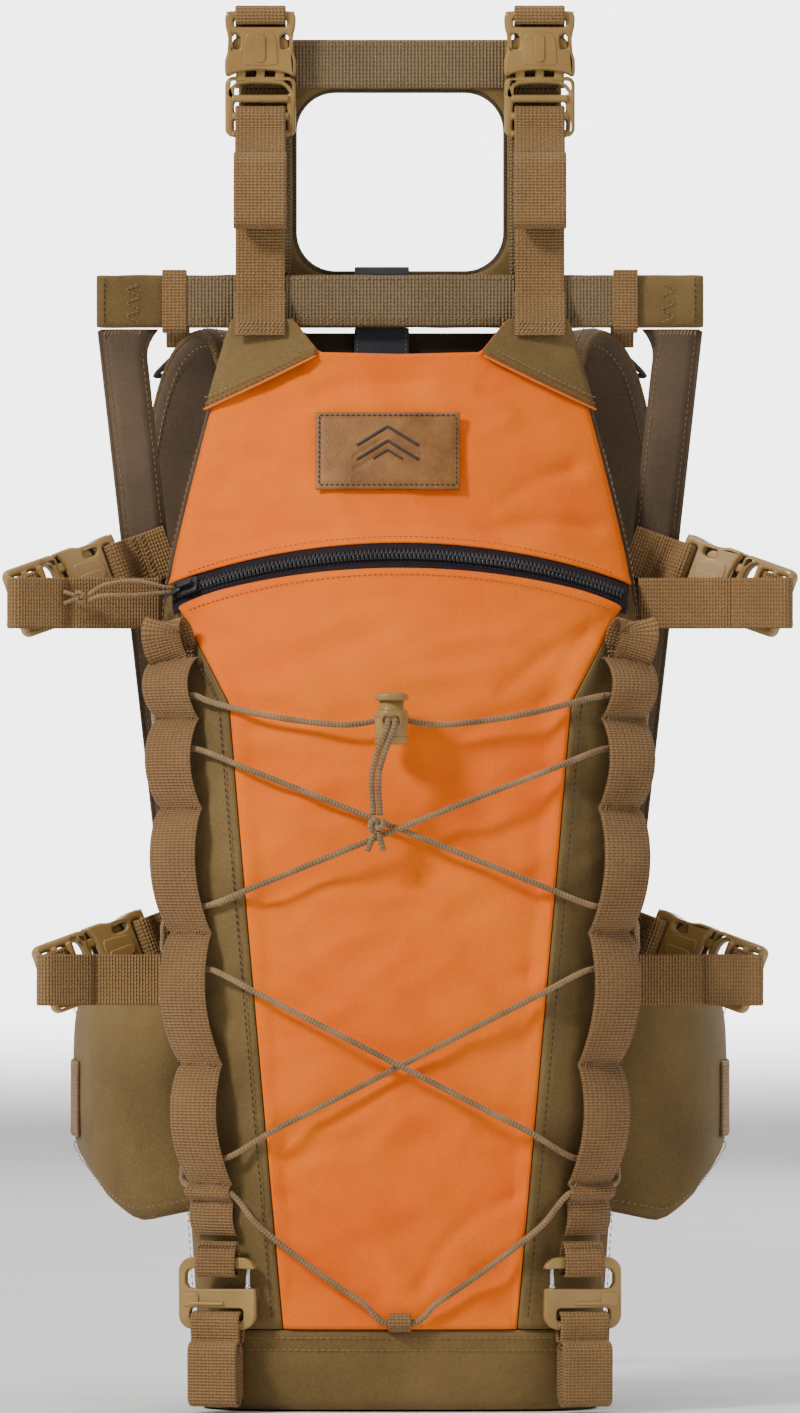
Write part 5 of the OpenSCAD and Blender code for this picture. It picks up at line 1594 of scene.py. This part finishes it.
def padded_strip(name, path, across_of, half_w, half_t, mat, body, nodes, e=0.6):
    """A foam strip with bound edges along a path.

    Returns the outward direction, the width's direction and the two half sizes at each point."""
    t = frames(path)
    rings, left, right, up = [], [], [], []
    for i, p in enumerate(path):
        k = i / (len(path) - 1)
        out = unit(across_of(t[i]))
        across = np.cross(out, t[i])
        end = min(1, min(k, 1 - k) * 26 + 0.2) ** 0.5
        w, h = half_w(k) * (0.94 + 0.06 * end), half_t(k) * end
        ring = []
        for a in np.linspace(0, 2 * math.pi, 30, endpoint=False):
            c, s = math.cos(a), math.sin(a)
            swell = 1 + 0.05 * ripple((c * w, s * h, k * 400), 30)
            ring.append(p + across * w * math.copysign(abs(c) ** e, c)
                        + out * h * swell * math.copysign(abs(s) ** 0.75, s))
        rings.append(ring)
        left.append(p - across * w * 0.985)
        right.append(p + across * w * 0.985)
        up.append((out, across, w, h))
    obj = loft(name, rings, mat, body, nodes)
    for word, line in (("a", left), ("b", right)):
        tube(name + "_binding_" + word, line, 3.6, WEB, body, nodes, sides=8)
    for s in (-1, 1):
        for face_s in (-1, 1):
            stitch([p + a * (w - 5) * s + o * h * face_s * 0.93 for p, (o, a, w, h) in zip(path, up)], body,
                   THREAD, pitch=3.4, r=0.3)
    return up


for side, word in SIDES:
    path = STRAP * [1 if side < 0 else -1, 1, 1]

    def half_w(k):
        return 28 * float(np.interp(k, [0, 0.5, 0.9, 1], [0.85, 1, 0.85, 0.6]))

    up = padded_strip("shoulder_strap_" + word, path, lambda t: np.cross([1, 0, 0], t), half_w, lambda k: 6.0,
                      BROWN, YOKE_FLEX, "shoulder_straps")
    keep = range(int(len(path) * 0.36), len(path) - 2)
    # the daisy webbing down the strap's outer face
    outer = [path[i] + up[i][0] * (6.6 if up[i][0][1] > 0 else -6.6) for i in keep]
    strap("shoulder_face_" + word, outer, [up[i][1] for i in keep], 20, 1.3, WEB, "harness",
          "shoulder_straps")
    for i in list(keep)[4::9]:
        o = up[i][0] * (7.5 if up[i][0][1] > 0 else -7.5)
        tack(path[i] + o, up[i][1], frames(path)[i], 17, "harness")
    f = Local((-88, 80, 242), turn("x", -10), side)
    holes = [rounded(-13.5, 13.5, z - 2.5, z + 2.5, 1.2) for z in (-8.4, 0.6, 8.2)]
    parts = [f.slab([rounded(-17, 17, -13, 13, 4, 6)] + holes, 5.2, 1.5, front=False)]
    parts += [f.bar((-13.6, 2.2, z), (13.6, 2.2, z), 1.5) for z in (-11.8, -3.9, 4.4)]
    merged("ladder_lock_" + word, parts, BLACK_PLASTIC, "harness", "ladder_locks")
    x = side * 88
    web = smooth_path([(x, 73.4, 246), (x, 72, 230), (x, 62, 222), (x, 34, 215), (x, 8.6, 206)], 2)
    strap("lower_web_" + word, web, (1, 0, 0), WEB_W, WEB_T, WEB, None, "strap_webs",
          blend=("harness", "pack", tuple(web[3]), tuple(web[-3])))
    x = side * 111.5
    lift = [[8.4, 552], [8.4, 556], [7, 558.2], [-7, 558.2], [-8.2, 556], [-8.2, 532], [-6.6, 529], [8, 529],
            [10.6, 533], [11.6, 540], [20, 545], [60, 541], [92.6, 531], [101.6, 524]]
    web = smooth_path([(x, y, z) for y, z in lift], 2)
    strap("load_lifter_" + word, web, (1, 0, 0), 12, 1.2, WEB, None, "load_lifters",
          blend=("pack", "harness", (x, 22, 545), tuple(web[-3])))
    f = Local((-111.5, 107.6, 514), turn("x", 27), side)
    ring = soft_outline([[-12, -6], [0, -6.2], [12, -6], [12, -3], [3, 6.5], [-3, 6.5], [-12, -3]], 1.2)
    hole = [[-9.2, -3.6], [9.2, -3.6], [1.8, 4.1], [-1.8, 4.1]]
    merged("lifter_ring_" + word, [f.slab([ring, hole], 2.4, 1.0)], BLACK_PLASTIC, "harness", "lifter_rings")

# ---------------------------------------------------------------- sternum strap

f = Local((0, 118, 395), np.eye(3), -1, 0.8)
back_f = Local((0, 118, 395), turn("x", 180), -1, 0.8)
female("sternum_body", back_f, "sternum", "sternum_buckle_body", BLACK_PLASTIC)
male("sternum_plug_body", back_f, "sternum_free", "sternum_plug", BLACK_PLASTIC)
for side, word in SIDES:
    path = smooth_path([(side * (102 - x), 118 + y, 395) for x,
                        y in ((-18, -1), (-5, -1.2), (8, -1), (26, 2), (45, 4.2), (60, 4.4), (75.4, 4.2))], 2)
    if side < 0:
        strap("sternum_web_left", path, (0, 0, 1), 20, 1.2, WEB, None, "sternum_webs",
              blend=("sternum", "sternum_free", tuple(path[4]), tuple(path[-4])))
    else:
        strap("sternum_web_right", path, (0, 0, 1), 20, 1.2, WEB, "sternum", "sternum_webs")

# ---------------------------------------------------------------- hip belt

WING = smooth_path([[-90, 22, 146], [-118, 32, 146], [-142, 58, 146], [-155, 100, 146], [-158, 145, 146],
                    [-146, 184, 146]], 4)
WING[:, 2] += np.interp(np.linspace(0, 1, len(WING)), [0, 0.2, 0.55, 0.75, 1], [0, 2, 11, 10, 0])
HIP_WEB = [[-162, 169.2], [-151.6, 187.4], [-132, 207], [-102, 225.5], [-84, 232], [-72, 233]]
for side, word in SIDES:
    path = WING * [1 if side < 0 else -1, 1, 1]
    body = "belt_" + word
    up = padded_strip("hip_wing_foam_" + word, path, lambda t: (t[1], -t[0], 0),
                      lambda k: float(np.interp(k, [0, 0.2, 0.4, 0.75, 1], [50, 60, 48, 38, 32])),
                      lambda k: float(np.interp(k, [0, 0.8, 1], [6.5, 6.5, 4])), COYOTE, body,
                      "hip_wing_" + word, e=0.5)
    web = smooth_path([(-side * x, y, 146) for x, y in HIP_WEB], 2)
    strap("hip_strap_" + word, web, (0, 0, 1), 38, 1.8, WEB, body, "hip_web_" + word)
    keep = [i for i in range(3, len(path) - 2) if path[i][1] > 96]
    out = [1 if np.dot(o, [path[i][0], 0.2 * (path[i][1] - 110), 0]) > 0 else -1 for i,
           (o, _, _, _) in enumerate(up)]
    face = [path[i] * [1, 1, 0] + up[i][0] * out[i] * 7.2 + [0, 0, 146] for i in keep]
    strap("hip_face_" + word, face, (0, 0, 1), 38, 1.5, WEB, body, "hip_wing_" + word)
male("hip_plug_body", Local((-71, 233, 146) + 1.4 * np.array([30, 0, 0]), turn("x", 180), -1, 1.4),
     "belt_left", "hip_plug", BLACK_PLASTIC)
female("hip_body", Local((71, 233, 146) + 1.4 * np.array([-32, 0, 0]), turn("x", 180), -1, 1.4), "belt_right",
       "hip_buckle_body", BLACK_PLASTIC)

# ---------------------------------------------------------------- CAD parts kept as they are

for node, mat, bevel in (("frame_stays", COMPOSITE, 0.6), ("crossbar_tube", COMPOSITE, 0.3),
                         ("popup_hoop", COMPOSITE, 0.4), ("popup_guides", BLACK_PLASTIC, 0.5)):
    obj = bpy.data.objects[node]
    obj.data.materials.clear()
    obj.data.materials.append(mat)
    mod = obj.modifiers.new("edges", "BEVEL")
    mod.width = bevel / 1000
    mod.segments = 2
    mod.limit_method = "ANGLE"

build_stitches()
